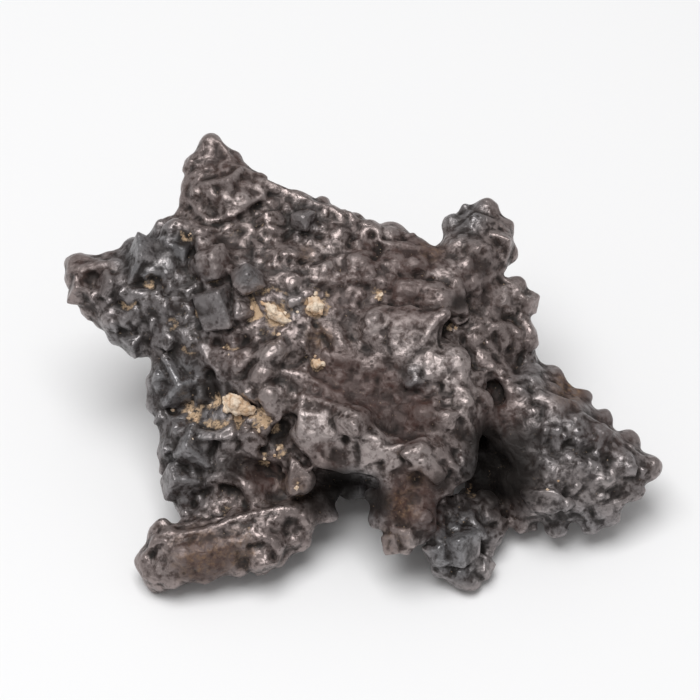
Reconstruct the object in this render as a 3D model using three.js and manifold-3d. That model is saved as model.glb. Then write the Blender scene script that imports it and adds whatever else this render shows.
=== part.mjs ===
// Prophecy stone: a cluster of pyrite and marcasite crystals, grown together and since turned
// to iron oxide (limonite, goethite, hematite) without losing its shape.
//
// The cluster is laid out in its own growth frame, in millimetres: +X to the right, +Y up and
// +Z out of its broad face. At the end it leans back by LEAN, rests on three of its tips and
// is set on the ground plane z = 0.

import * as THREE from 'three';
import { ConvexGeometry } from 'three/addons/geometries/ConvexGeometry.js';
import { mergeVertices } from 'three/addons/utils/BufferGeometryUtils.js';
import Module from 'manifold-3d';

const wasm = await Module();
wasm.setup();

// ---------------------------------------------------------------- driving dimensions

const LEAN = THREE.MathUtils.degToRad(42);
const GROUND = -20.4; // height of the ground below the growth frame's origin, once leaned
const MIDDLE = [1.79, -1.09]; // plan middle of the leaned cluster

const CORE_CENTRE = [-1, 2, -6];
const CORE_RADII = [25, 17, 13];

const FINE_CRYSTAL = [3, 4.6]; // smallest and largest edge on the broad face
const COARSE_CRYSTAL = [5.4, 9]; // and on the sides and back
const SINK = 0.1; // depth of a crystal's middle below the face it stands on, in edges
const CRYSTAL_SPACING = 0.98; // nearest two may stand, as a share of their summed edges
const SCATTER_TRIES = 1600;
const SEED = 23;

// ---------------------------------------------------------------- solids

// A closed three.js geometry as a solid that can be joined and cut.
function solidOf(geometry) {
  const bare = geometry.clone();
  bare.deleteAttribute('normal');
  bare.deleteAttribute('uv');
  const merged = mergeVertices(bare, 1e-4);
  return new wasm.Manifold(new wasm.Mesh({
    numProp: 3,
    vertProperties: new Float32Array(merged.attributes.position.array),
    triVerts: new Uint32Array(merged.index.array),
  }));
}

function geometryOf(solid) {
  const { vertProperties, triVerts } = solid.getMesh();
  const geometry = new THREE.BufferGeometry();
  geometry.setAttribute('position', new THREE.BufferAttribute(vertProperties, 3));
  geometry.setIndex(new THREE.BufferAttribute(triVerts, 1));
  return geometry;
}

function hull(points) {
  return new ConvexGeometry(points.map((p) => new THREE.Vector3(...p)));
}

function joined(geometries) {
  return geometries.map(solidOf).reduce((whole, next) => whole.add(next));
}

// ---------------------------------------------------------------- masses

// Each mass is the hull of the corners that its facets meet at.
const MASSES = {
  topField: [
    [-24, 15.6, 1.6], [-12, 23.4, -2.4], [-5, 22, -2.4], [0, 20.2, -2], [7.4, 18.2, -2],
    [13, 17, -1], [9, 10, 5.4], [-10, 9, 6.8], [-22, 10, 5], [-20, 14, -12],
    [8, 14, -12], [-8, 18, -14],
  ],
  leftField: [
    [-27, 11, 2.6], [-10, 9.5, 6.4], [-3, 8, 6.4], [-3, -2, 7.6], [-9, -9, 8.4],
    [-14, -7, 7], [-21, -4, 5], [-27.6, -2, 1.6], [-28, 6, 0.6], [-24, 4, -12],
    [-8, 2, -14],
  ],
  rightField: [
    [5, 10, 5.4], [13, 15.6, 0.6], [18.6, 14, -0.4], [22.8, 9.5, -1.4], [25.6, 4, -1.6],
    [26.6, -2, -2.6], [24, -8, -1], [18, -8, 4.6], [15, -9, 6.6], [8, -3, 7],
    [18, 4, -14], [20, -6, -13], [8, 4, -14],
  ],
  satinBand: [
    [2, 7, 7.4], [9, 7.5, 8.2], [14, 6, 8.2], [18.8, -0.5, 7.8], [18.8, -5.5, 8.6],
    [12.6, -7, 9.8], [7, -4, 9.2], [1, 1, 8.2], [10, 0, -4],
  ],
  channelBed: [
    [-9, -2, 7.6], [-3, -0.5, 7.8], [7, -4.5, 8.6], [14, -11, 9.8], [9, -14.5, 11.4],
    [0, -10, 10.6], [-9, -7.5, 8.6], [2, -6, -6],
  ],
  foldRing: [
    [8, -4, 9], [14, -4.6, 9.2], [19.6, -5, 7.6], [22.4, -7.6, 6.2], [22, -12, 5],
    [18.2, -13.6, 7.8], [13, -13.6, 11.8], [9.4, -12, 10.8], [12, -8, 10.4], [16, -8.6, 10],
    [15, -8, -2],
  ],
  shoulder: [
    [24, -2, -1], [28, -1.6, -2.8], [30.6, -3, -3], [31.6, -7.6, 1.6], [28.6, -8.6, 4.8],
    [23.6, -8.6, 5.8], [21.6, -4.6, 4.8], [26, -4, 3], [26, -6, -8],
  ],
  slab: [
    [-10, -9.5, 9.4], [-6, -7.3, 10.8], [0, -9.3, 12.4], [5, -12.7, 13.4], [7, -17, 12.8],
    [4.2, -18.8, 12], [-4, -18.2, 11], [-9, -14.3, 9.4], [-6, -12, 0], [3, -15, 0],
  ],
  bladeTop: [
    [5, -13, 13], [8.5, -14, 13.4], [11, -12.8, 13], [13, -14.2, 12.6], [16, -13, 10.5],
    [18.4, -14.5, 8], [18, -19.2, 8], [14.6, -22, 9.5], [11, -24, 11.5], [5, -21, 12],
    [10, -17, -3],
  ],
  bladeTip: [
    [3.6, -19, 12], [12, -20, 12.5], [13.8, -24.6, 10], [11.6, -27.2, 10.5],
    [9.2, -29.8, 11], [6.8, -29.8, 11], [4.8, -27, 11], [3.8, -23.2, 11], [8, -21, 2],
    [8.5, -27.4, 5],
  ],
  lowerLeft: [
    [-26.6, -3, 2.4], [-14, -7, 7], [-9.3, -10, 7], [-8.7, -14, 6.4], [-4.5, -18, 4.6],
    [-2, -20.5, 3], [-8, -25, 5], [-20, -24.6, 5.6], [-25.6, -20, 3.6], [-27.4, -10, 1.6],
    [-18, -8, -11], [-8, -14, -8],
  ],
  lowerNeck: [
    [-27, -20, 2.6], [-26.6, -25.4, 5], [-22, -26, 7], [-12, -25, 7.4], [-12, -20, 6.2],
    [-20, -19, 4.6], [-24, -23, -3], [-12, -23, -3],
  ],
  heart: [
    [-14, -8, -6], [-4, -8, -6], [-4, -16, -4], [-13, -16, -4], [-13, -9, 4.6], [-5, -9, 6],
    [-5, -15, 5], [-12, -15, 4.4],
  ],
  leftFace: [
    [-10.4, -13.6, 6.6], [-5, -14, 6.6], [-5.2, -19, 8.4], [-8, -22.4, 9], [-11, -19, 8.4],
    [-8, -18, 0],
  ],
  underBody: [
    [-10, -14, 4], [20, -10, 4], [14, -21, 3], [1, -21.2, 2], [-2, -19.6, -3],
    [14, -16, -5], [18, -10, -9], [-8, -10, -9],
  ],
  armA: [
    [-23.4, 31.4, -6], [-21.2, 32.2, -7], [-18.6, 30.4, -6], [-24, 27.5, -3.4],
    [-19.5, 28.6, -3], [-24.6, 21, -1.4], [-24.4, 15, 1.6], [-15, 20, 2], [-11, 23.4, -2.4],
    [-14.8, 26.4, -4.8], [-24, 19, -13], [-13, 21, -13], [-20, 29.4, -12],
  ],
  armB: [
    [-42, 13, -3], [-41, 14.2, -4], [-35, 14, -4], [-28, 17, -1.4], [-24, 17, 0.6],
    [-41.4, 9.2, -1.6], [-39, 5.8, -0.6], [-36, 3, -1.4], [-31.6, 0, -0.6], [-22, -0.5, 3.6],
    [-33, 10, 3], [-24, 11, 4], [-25, 13, -14], [-25, 2, -13], [-38, 9, -9],
  ],
  leftFacet: [
    [-33, 16.6, 0], [-27.4, 17.2, 0.6], [-26.2, 12.6, 4.4], [-29.6, 10.8, 4.8],
    [-32.8, 12, 3.4], [-29, 14, -4],
  ],
  brownDome: [
    [-24, 15.6, 1.6], [-20.6, 16.2, 2.6], [-17.6, 14.4, 4.2], [-17.8, 12, 6.4],
    [-21, 11, 6.8], [-24, 12, 5.4], [-21, 13.4, 6.4], [-21, 13.4, 0],
  ],
  armC: [
    [0.5, -20, 3], [-1.5, -22.4, 2.5], [-4, -26.4, 4.4], [-10.5, -31.2, 7.4], [-19, -32.8, 9.8],
    [-26.5, -35.4, 9], [-29.6, -35.6, 7.6], [-31, -31.4, 7.6], [-28.6, -26, 7.6],
    [-20, -24.4, 7.4], [-9, -22.8, 7.6], [-24, -30, 12.4], [-14, -27, 11], [-6, -21, -1],
    [-22, -27, 2], [-28.6, -33.6, 2.6], [-24, -33.6, 2.6], [-29.6, -31, 2.6],
  ],
  lowerRight: [
    [12, -21, 6], [20, -21.5, 2], [21.8, -27, 1.6], [21.4, -30, 3], [19.2, -32.6, 5],
    [18.6, -35.6, 6.6], [16.4, -35, 6.4], [12.6, -31.8, 7], [11, -28.4, 7.5],
    [16, -28, 9.4], [14, -22, -2], [20, -22, -2], [15, -33.6, 2.6], [18.4, -34.4, 3],
    [19, -31.4, 1.4],
  ],
  armE: [
    [45.4, -17.2, 1.5], [45.4, -19.4, 2], [43, -21, 3], [38.4, -25, 2.6], [30, -26.2, 2],
    [24, -24.6, 2], [27, -22, 6.4], [37, -19, 6], [28, -7.8, 5.6], [36.4, -12, 4.2],
    [27, -3.4, -2.4], [31, -3, -4.4], [38.2, -10.4, -2], [20, -9, 3.6], [20, -20, -2],
    [24, -6, -14], [27, -19, -7], [38, -16, -6],
  ],
  armF: [
    [8, 9, 3.6], [14.6, 17.6, -2], [16, 19.6, -4.4], [18, 21.4, -5.4], [21.2, 21.8, -6.4],
    [23.6, 18, -4], [23.8, 14.6, -2.4], [21, 17, 0.4], [16.4, 16.6, 0.4], [22.4, 10.6, -0.4],
    [17, 8, 4.4], [10, 10, -13], [21.6, 12, -13], [20, 19.4, -14],
  ],
  rightEdge: [
    [22, 11.4, -2], [24.6, 9.6, -1.6], [26, 6.4, -1.4], [26.4, 1, -1.6], [25.6, -2, -3],
    [20, 10, -7], [22, 0, -9], [20, 4, 1], [24.6, 4, -7],
  ],
  rearFoot: [
    [-7, 8, -12], [12, 9, -12], [9, -4, -12], [-4, -5, -12], [-1, 7, -34.6],
    [5, 7.5, -34.8], [5, 3.5, -31.6], [0, 3, -31], [2, 11, -30],
  ],
  rearRight: [
    [8, 12, -9], [20, 10, -9], [18, -2, -9], [8, 0, -12], [14, 13, -28], [18, 12, -27],
    [17, 8, -26], [13, 9, -27],
  ],
  rearLeft: [
    [-26, 12, -9], [-14, 14, -9], [-12, 2, -12], [-24, 2, -9], [-29, 11.5, -24],
    [-25, 12, -26], [-26, 7, -23.5], [-29.6, 8, -22],
  ],
};

// ---------------------------------------------------------------- hollows

// Pits and recesses, as [x, y, z, radius across, radius deep].
const HOLLOWS = [
  [15.4, 2.6, 9, 2.2, 6],
  [21.8, -17.5, 9, 2.8, 12],
  [-2.2, -21, 8, 1.8, 6],
  [-12.4, -18.3, 7.4, 2.1, 3.2],
  [-8.6, -26.4, 10.4, 2, 3],
];

// Long grooves and cracks, as from, to, radius.
const GROOVES = [
  [[-10, 8.4, 8.2], [5, 9.6, 7.2], 1.1],
  [[-25.8, 18.6, 1.6], [-23.6, 14.4, 4.4], 0.8],
  [[-8.8, -9.8, 9.6], [-12.6, -15, 7.6], 1],
  [[-21.2, -4.2, 5.6], [-20.6, -8, 5.4], 1.2],
  [[-26.6, -9, 3.2], [-20.4, -8.6, 5], 1.2],
  [[24, 9.6, 0.4], [21.6, 6.4, 2], 1.2],
];

function hollow([x, y, z, across, deep]) {
  const bowl = new THREE.IcosahedronGeometry(1, 0);
  bowl.scale(across * 1.1, across * 1.1, deep);
  return bowl.translate(x, y, z);
}

function groove([from, to, radius]) {
  const start = new THREE.Vector3(...from);
  const run = new THREE.Vector3(...to).sub(start);
  const bar = new THREE.CapsuleGeometry(radius, run.length(), 1, 6);
  bar.rotateX(Math.PI / 2);
  bar.applyQuaternion(turnTo(run.clone().normalize()));
  return bar.translate(...start.addScaledVector(run, 0.5).toArray());
}

// ---------------------------------------------------------------- crystals

const UP = new THREE.Vector3(0, 0, 1);

function turnTo(direction) {
  return new THREE.Quaternion().setFromUnitVectors(UP, direction);
}

// The two habits of the crystals: a cube standing on one corner, and an octahedron.
function cube(edge) {
  const diagonal = new THREE.Vector3(1, 1, 1).normalize();
  const upright = new THREE.Quaternion().setFromUnitVectors(diagonal, UP);
  return new THREE.BoxGeometry(edge, edge, edge).applyQuaternion(upright);
}

function octahedron(edge) {
  return new THREE.OctahedronGeometry(edge * 0.78);
}

const HABITS = [cube, cube, octahedron];

// A repeatable source of numbers from 0 to 1.
function numbersFrom(seed) {
  let state = seed;
  return () => {
    state = (state + 0x6d2b79f5) | 0;
    let t = Math.imul(state ^ (state >>> 15), 1 | state);
    t = (t + Math.imul(t ^ (t >>> 7), 61 | t)) ^ t;
    return ((t ^ (t >>> 14)) >>> 0) / 4294967296;
  };
}

const chance = numbersFrom(SEED);

function between([low, high]) {
  return low + (high - low) * chance();
}

// One crystal of the given edge, seated at a place and pointing outward.
function crystal(place, outward, edge) {
  const shape = HABITS[Math.floor(chance() * HABITS.length)](edge);
  shape.scale(between([0.85, 1.3]), between([0.8, 1.1]), between([0.8, 1.15]));
  shape.rotateZ(chance() * 2 * Math.PI);
  const tilt = new THREE.Vector3(chance() - 0.5, chance() - 0.5, chance() - 0.5);
  const aim = outward.clone().addScaledVector(tilt, 0.5).normalize();
  shape.applyQuaternion(turnTo(aim));
  const seat = place.clone().addScaledVector(aim, -edge * SINK);
  return shape.translate(...seat.toArray());
}

// ---------------------------------------------------------------- matrix chips

// Bits of the chalky rock that the cluster grew in, still lodged in pits of the broad face.
const POCKET_GAP = 0.3;
const CHIPS = {
  chalk_chip_main: [
    [-19, -6.8, 5.6], [-18, -6, 6.2], [-16.4, -6.6, 6.6], [-15.4, -8.2, 6.6], [-13.6, -8.8, 6.4],
    [-14.2, -9.8, 6.2], [-17, -9.8, 6.2], [-18.8, -9.2, 5.6], [-17, -8, 7.6], [-16.6, -8, 4.4],
  ],
  chalk_chip_upper: [
    [-13.6, 7.4, 6.2], [-12, 7, 6.6], [-9.6, 5, 7], [-8.2, 4.2, 6.8], [-9.6, 3.6, 6.6],
    [-12, 4.8, 6.4], [-11, 5.4, 7.8], [-11, 5.6, 5],
  ],
  chalk_chip_middle: [
    [-6.2, 7.8, 6.6], [-4.4, 8, 6.6], [-3.4, 6.8, 6.8], [-4, 5, 7], [-5.8, 5, 6.8],
    [-6.6, 6.2, 6.6], [-5, 6.6, 7.8], [-5, 6.4, 5],
  ],
  chalk_chip_ridge: [
    [-5.8, -1.6, 7.4], [-4.4, -1, 7.4], [-3.2, -1.8, 7.6], [-3.6, -2.8, 7.8], [-5.2, -2.8, 7.8],
    [-4.4, -2, 8.6], [-4.4, -2, 6],
  ],
};

// The room a chip sits in: its own shape, larger by the gap and open to the front.
function pocket(points) {
  const middle = points.reduce((sum, p) => sum.map((v, i) => v + p[i] / points.length), [0, 0, 0]);
  const larger = points.map((p) => {
    const out = new THREE.Vector3(...p).sub(new THREE.Vector3(...middle));
    const reach = out.length();
    return out.multiplyScalar(1 + (POCKET_GAP * 1.5) / reach).add(new THREE.Vector3(...middle));
  });
  const inFront = larger.map((p) => p.clone().setZ(p.z + 5));
  return new ConvexGeometry([...larger, ...inFront]);
}

// ---------------------------------------------------------------- assembly

const masses = Object.values(MASSES).map(hull);
const core = new THREE.IcosahedronGeometry(1, 1).scale(...CORE_RADII).translate(...CORE_CENTRE);
const bulk = joined([core, ...masses]);
const cuts = joined([...HOLLOWS.map(hollow), ...GROOVES.map(groove)]);

// Crystals placed one by one on the broad face, as [x, y, edge].
const FACE_CRYSTALS = [
  // upper left arm
  [-21.4, 29.6, 3], [-22.4, 26.4, 3.4], [-18.6, 29, 3], [-20.6, 23.6, 3.4], [-16.4, 22.6, 3.2],
  // left arm
  [-40, 10, 3.4], [-38, 8, 3], [-35, 9.6, 3.4], [-35.6, 5.4, 3.4], [-32.2, 4.4, 3.2],
  [-31.4, 8, 3], [-27.4, 2.4, 3], [-24, 1.8, 2.8], [-28, 7.6, 3.2],
  // left nubs
  [-24.4, -3.6, 5], [-26, -14.6, 4], [-22.8, -15.4, 5], [-24.4, -20, 4], [-18.2, -14.6, 3.6],
  [-14.2, -13.6, 3.6], [-18.6, -18.6, 3.8], [-14.6, -20.6, 3.2],
  // lower left arm
  [-28, -28, 3.6], [-11.6, -29.4, 3.6], [-6.6, -25.6, 3.2],
  // middle
  [-16.6, 5.6, 3.4], [-20, 5.8, 4.2], [-15.4, 10.6, 3.4], [-11.4, -0.6, 4], [-12, -3.6, 3],
  [-7.4, 1.2, 3.2], [-1.8, 1.4, 3], [-11.2, -7.4, 3.6], [-17.2, -1.6, 3], [3.4, 3.4, 3],
  [10.6, -9.4, 3.4], [16.6, -8, 3.2], [13.4, 5, 2.8], [-4, 12.6, 3], [2, 13, 3], [-10, 14, 3.2],
  // blade and lower right tip
  [10.4, -16.2, 4], [15.4, -16.6, 3.6], [6, -22.4, 3.4], [10, -25, 3.4], [13.6, -29, 3.8],
  [18.6, -27.6, 3.4], [20.6, -23.4, 3.4],
  // right arm
  [28.8, -12, 3.6], [33.2, -12, 3.4], [37.2, -13.4, 3.2], [41, -17, 3.2], [29.4, -17, 3.8],
  [33.4, -17.8, 3.6], [37.4, -18.6, 3.4], [35, -22, 3.6], [30, -21.4, 3.4],
  // upper right arm
  [20, 14.6, 3.4], [16.6, 12.8, 3], [18.6, 8.6, 3.2], [22.4, 3, 3], [21.6, -2.6, 3.2],
  // top field
  [-7, 19, 3.6], [3.4, 18.4, 3.4], [-1.6, 17.4, 3.2], [-12, 18.4, 3.4], [7, 13.6, 3],
];

// Crystals that stand out of the outline, as [x, y, z, edge].
const RIM_CRYSTALS = [
  // upper left arm and top edge
  [-21.4, 31.6, -6, 3.2], [-24.2, 28.8, -5, 3], [-24.8, 25.2, -4, 3], [-25.4, 21.8, -4, 3],
  [-17.6, 29.6, -6, 3], [-14.2, 26.2, -5, 3], [-26, 19.4, -4, 3], [-9.6, 23, -4, 3],
  [-4.4, 22.2, -4, 2.8], [1, 20.4, -4, 3], [6.4, 18.4, -4, 3],
  // upper right arm and right edge
  [15.4, 19.6, -5, 3.2], [18.4, 21.4, -6, 3], [21.2, 22, -6, 3], [23.6, 18.6, -5, 3.2],
  [24, 15, -4, 3], [25, 9.8, -3, 3.2], [26.6, 6.8, -3, 3.4], [26.8, 2.4, -2, 3.4],
  [27, -1, -4, 3],
  // right arm
  [31, -3.8, -4, 3.2], [35.4, -7, -3, 3.2], [38.8, -10.2, -2, 3], [42.2, -13.4, -1, 3],
  [45.2, -17.4, 1, 3.2], [42.6, -21.4, 2, 3], [38.6, -24.4, 2, 3.2], [36.2, -26.6, 2, 3.4],
  [31, -26.8, 1.6, 3.4], [26.4, -26, 0, 3.4],
  // lower right tip and blade
  [21.6, -27.4, 2, 3.4], [20.4, -31, 3, 3], [17.4, -34.2, 4.4, 4.4], [13.4, -32.2, 6, 3],
  [8, -29, 9.4, 3], [12, -26.2, 8.4, 3], [4.2, -25.2, 9, 3], [3.4, -21.6, 8, 3],
  // lower left arm
  [-3, -25.2, 4, 3], [-7.4, -28.6, 5.4, 3.4], [-11, -31.2, 6.6, 3.2], [-16.4, -32.4, 7.4, 3],
  [-21.4, -33.4, 7.4, 3], [-28.2, -34.2, 4.4, 4.6], [-30.6, -31.4, 6, 3.2], [-29.2, -27, 6, 3],
  // left edge
  [-25.8, -21.4, 2, 3.2], [-27.4, -18, 1, 3.2], [-28, -15, 1, 3.2], [-27.6, -11.2, 1, 3.6],
  [-29, -8.4, 0, 3.2], [-28.6, -4.6, 1, 4.6], [-28.4, -1.6, 0, 3.4],
  // left arm
  [-32.4, 0.4, -2, 3.2], [-35.4, 2.4, -3, 3.2], [-38, 4.8, -3, 3.2], [-40.4, 7.6, -3, 3.2],
  [-42, 10.6, -3, 3], [-42, 13.2, -4, 3], [-37, 13.8, -5, 3], [-32.8, 15.8, -4, 3.4],
  [-28.4, 17.6, -3, 3.2],
];

// Faces that stayed smooth, as [x, y, radius]: no crystal starts on them.
const SMOOTH_FACES = [
  [-30, 14, 3.6], [-20.5, 13, 3.4], [-33.5, 1.6, 2.6], [0, -13.5, 6.5], [5, -7, 5],
  [10, 2, 5.5], [14.5, -3, 4.5], [9.5, 14, 3.6], [-21, -30.6, 5.5], [8, -24, 3],
  [15.4, 2.6, 3], [21, -17.5, 5.5], [-17.6, -8.2, 3.6], [11.6, -19, 3.4], [16, -26, 3],
];

// Long crystals lying along the broad face, as the path of the crest and its width.
const RIDGES = [
  [[[-20.8, 30.6], [-16.6, 27.6], [-13.4, 24.6]], 2.2],
  [[[-19.6, 27.4], [-16, 26.6], [-13, 25]], 1.8],
  [[[-12, 22.8], [-5, 21.4], [0, 19.6], [2, 18]], 2],
  [[[-25.5, 17.4], [-28, 12.6]], 1.6],
  [[[-40.8, 12.4], [-38, 13], [-34, 13]], 2],
  [[[-22, 0.6], [-19.6, -3.6], [-14, -0.8]], 1.8],
  [[[-9.2, -3], [-5.4, -5.4], [-1.6, -7.4]], 1.8],
  [[[-8, -7.4], [0, -9.6], [5, -12.6]], 1.8],
  [[[-26, -11.6], [-20, -13.4], [-15.6, -11.8]], 2.4],
  [[[-21, -19.6], [-18.6, -18.4], [-16, -19.6]], 2],
  [[[-26, -26.4], [-20, -25.6], [-14, -24], [-9, -24], [-2.8, -22.2]], 2.2],
  [[[-30.2, -31], [-28.8, -34.4]], 2],
  [[[3, 17], [8, 16], [10, 15]], 1.6],
  [[[28, -7.2], [33, -8.6], [36, -11], [40, -14.4], [44, -18.4]], 2.2],
  [[[25, -24], [30, -23.6], [36, -24.2]], 2.2],
  [[[17, 20.6], [20, 19.6], [23, 18]], 1.6],
  [[[16, -9], [18.4, -13], [18, -18.6]], 2.2],
];

const caster = new THREE.Raycaster();

// Where a line along the growth axis first meets the bulk, or a place on the rim beside it.
function seatOnFace(mesh, x, y) {
  caster.set(new THREE.Vector3(x, y, 60), new THREE.Vector3(0, 0, -1));
  const [hit] = caster.intersectObject(mesh);
  if (hit) {
    return { place: hit.point, outward: hit.face.normal.clone() };
  }
  return { place: new THREE.Vector3(x, y, 0), outward: new THREE.Vector3(x, y, 0).normalize() };
}

// The stretches of one ridge: each is a bar with a crest, blunt at both ends.
function ridge(mesh, [path, width]) {
  const crest = path.map(([x, y]) => seatOnFace(mesh, x, y).place);
  return crest.slice(1).map((end, i) => {
    const start = crest[i];
    const along = end.clone().sub(start).normalize();
    const across = new THREE.Vector3().crossVectors(along, UP).normalize();
    const corners = [start, end].flatMap((place, k) => {
      const beyond = along.clone().multiplyScalar(k === 0 ? -width / 2 : width / 2);
      const foot = place.clone().addScaledVector(UP, -width * 0.6);
      return [
        foot.clone().add(beyond).addScaledVector(across, width * 0.6),
        foot.clone().add(beyond).addScaledVector(across, -width * 0.6),
        place.clone().addScaledVector(across, width * 0.2).addScaledVector(UP, width * 0.6),
        place.clone().addScaledVector(across, -width * 0.2).addScaledVector(UP, width * 0.6),
      ];
    });
    return new ConvexGeometry(corners);
  });
}

// Height above the ground of a place in the growth frame, once the cluster leans.
function heightOf(place) {
  return place.y * Math.sin(LEAN) + place.z * Math.cos(LEAN) - GROUND;
}

function scattered(mesh, taken) {
  const position = mesh.geometry.toNonIndexed().attributes.position;
  const faces = [];
  let total = 0;
  for (let i = 0; i < position.count; i += 3) {
    const corners = [0, 1, 2].map((k) => new THREE.Vector3().fromBufferAttribute(position, i + k));
    const face = new THREE.Triangle(...corners);
    total += face.getArea();
    faces.push({ face, total });
  }
  const grown = [];
  for (let n = 0; n < SCATTER_TRIES; n += 1) {
    const pick = chance() * total;
    const { face } = faces.find((f) => f.total >= pick);
    const a = Math.sqrt(chance());
    const b = chance();
    const place = face.a.clone().multiplyScalar(1 - a)
      .addScaledVector(face.b, a * (1 - b))
      .addScaledVector(face.c, a * b);
    const outward = face.getNormal(new THREE.Vector3());
    const onFace = outward.z > 0.15;
    const edge = between(onFace ? FINE_CRYSTAL : COARSE_CRYSTAL);
    const smooth = onFace && SMOOTH_FACES.some(([x, y, r]) => (
      Math.hypot(place.x - x, place.y - y) < r));
    const crowded = taken.some((t) => (
      t.place.distanceTo(place) < (t.edge + edge) * CRYSTAL_SPACING));
    const low = heightOf(place) < edge;
    if (!smooth && !crowded && !low) {
      taken.push({ place, edge });
      grown.push(crystal(place, outward, edge));
    }
  }
  return grown;
}

const bulkMesh = new THREE.Mesh(geometryOf(bulk));
const taken = [];
const crystals = FACE_CRYSTALS.map(([x, y, edge]) => {
  const { place, outward } = seatOnFace(bulkMesh, x, y);
  taken.push({ place, edge });
  return crystal(place, outward, edge);
});
RIM_CRYSTALS.forEach(([x, y, z, edge]) => {
  const place = new THREE.Vector3(x, y, z);
  taken.push({ place, edge });
  crystals.push(crystal(place, new THREE.Vector3(x, y, 0).normalize(), edge));
});
const ridges = RIDGES.flatMap((r) => ridge(bulkMesh, r));
crystals.push(...ridges, ...scattered(bulkMesh, taken));
const pockets = joined(Object.values(CHIPS).map(pocket));
const grown = joined(crystals).add(bulk).subtract(cuts).subtract(pockets);

// Lean the cluster back, set it on the ground and wear its three lowest tips flat.
function rested(geometry) {
  return geometry.rotateX(LEAN).translate(-MIDDLE[0], -MIDDLE[1], -GROUND);
}

const below = new THREE.BoxGeometry(200, 200, 40).translate(0, 0, -20);
const stone = solidOf(rested(geometryOf(grown))).subtract(solidOf(below));

const ironOxide = new THREE.MeshStandardMaterial({
  color: 0x3c3231,
  roughness: 0.5,
  metalness: 0.15,
});

const chalk = new THREE.MeshStandardMaterial({ color: 0xc9a887, roughness: 0.95, metalness: 0 });

const prophecyStone = new THREE.Group();

function addPiece(name, geometry, material) {
  const piece = new THREE.Mesh(geometry, material);
  piece.name = name;
  prophecyStone.add(piece);
}

addPiece('stone', geometryOf(stone), ironOxide);
Object.entries(CHIPS).forEach(([name, points]) => {
  addPiece(name, rested(hull(points)), chalk);
});

export default prophecyStone;
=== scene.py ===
import math

import bpy
import numpy as np
from mathutils import Matrix, Vector
from mathutils.bvhtree import BVHTree
from mathutils.kdtree import KDTree


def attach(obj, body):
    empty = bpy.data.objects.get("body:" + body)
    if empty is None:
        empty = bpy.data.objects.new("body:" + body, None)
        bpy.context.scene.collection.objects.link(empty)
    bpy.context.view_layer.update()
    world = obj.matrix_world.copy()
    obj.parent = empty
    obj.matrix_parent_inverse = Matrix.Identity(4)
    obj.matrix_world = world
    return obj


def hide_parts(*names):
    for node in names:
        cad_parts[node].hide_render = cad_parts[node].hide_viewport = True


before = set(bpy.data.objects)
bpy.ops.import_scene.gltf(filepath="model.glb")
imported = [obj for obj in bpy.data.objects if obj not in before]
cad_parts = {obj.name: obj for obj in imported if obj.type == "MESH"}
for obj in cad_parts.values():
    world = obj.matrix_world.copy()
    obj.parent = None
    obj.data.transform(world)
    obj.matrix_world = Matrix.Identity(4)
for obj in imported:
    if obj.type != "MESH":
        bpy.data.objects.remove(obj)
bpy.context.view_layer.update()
bpy.ops.object.select_all(action="DESELECT")

MM = 0.001

# ------------------------------------------------------------------ the stone
# One cluster of pyrite and marcasite crystals, grown together and since turned to limonite
# and goethite. Handling and weather have rounded every edge and given the high places a
# satin skin, while dust and the chalk that it grew in stay in the pits.

# The cluster's growth frame, in millimetres: x to the right, y up and z out of the broad
# face. It leans back as the stone rests, with the ground below its origin.
LEAN = math.radians(42)
GROWTH_ORIGIN = Vector((-1.79, 1.09, 20.4))
TO_REST = Matrix.Translation(GROWTH_ORIGIN) @ Matrix.Rotation(LEAN, 4, "X")
TURN = np.array(Matrix.Rotation(LEAN, 3, "X"))

# The surface is made over three times, finer each time, between the steps that shape it.
BASE_VOXEL = 0.5 * MM
COARSE_VOXEL = 0.38 * MM
FINE_VOXEL = 0.28 * MM
STONE_TRIANGLES = 197000
SURFACE_AREA = 11000  # square millimetres, roughly
RAZOR = 0.001  # the rounding, in millimetres, of shapes that the next remeshing softens
THINNEST = 0.8  # millimetres, of any fin or spike that is left standing

# Crowds of small crystals that cover the whole stone, each as the crystals' width and how low
# and how high their middles lie over the bare surface.
CROWDS = [(5.6, -1.1, -0.2), (3.4, -0.6, 0.2), (2.2, -0.5, 0.3)]

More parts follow.
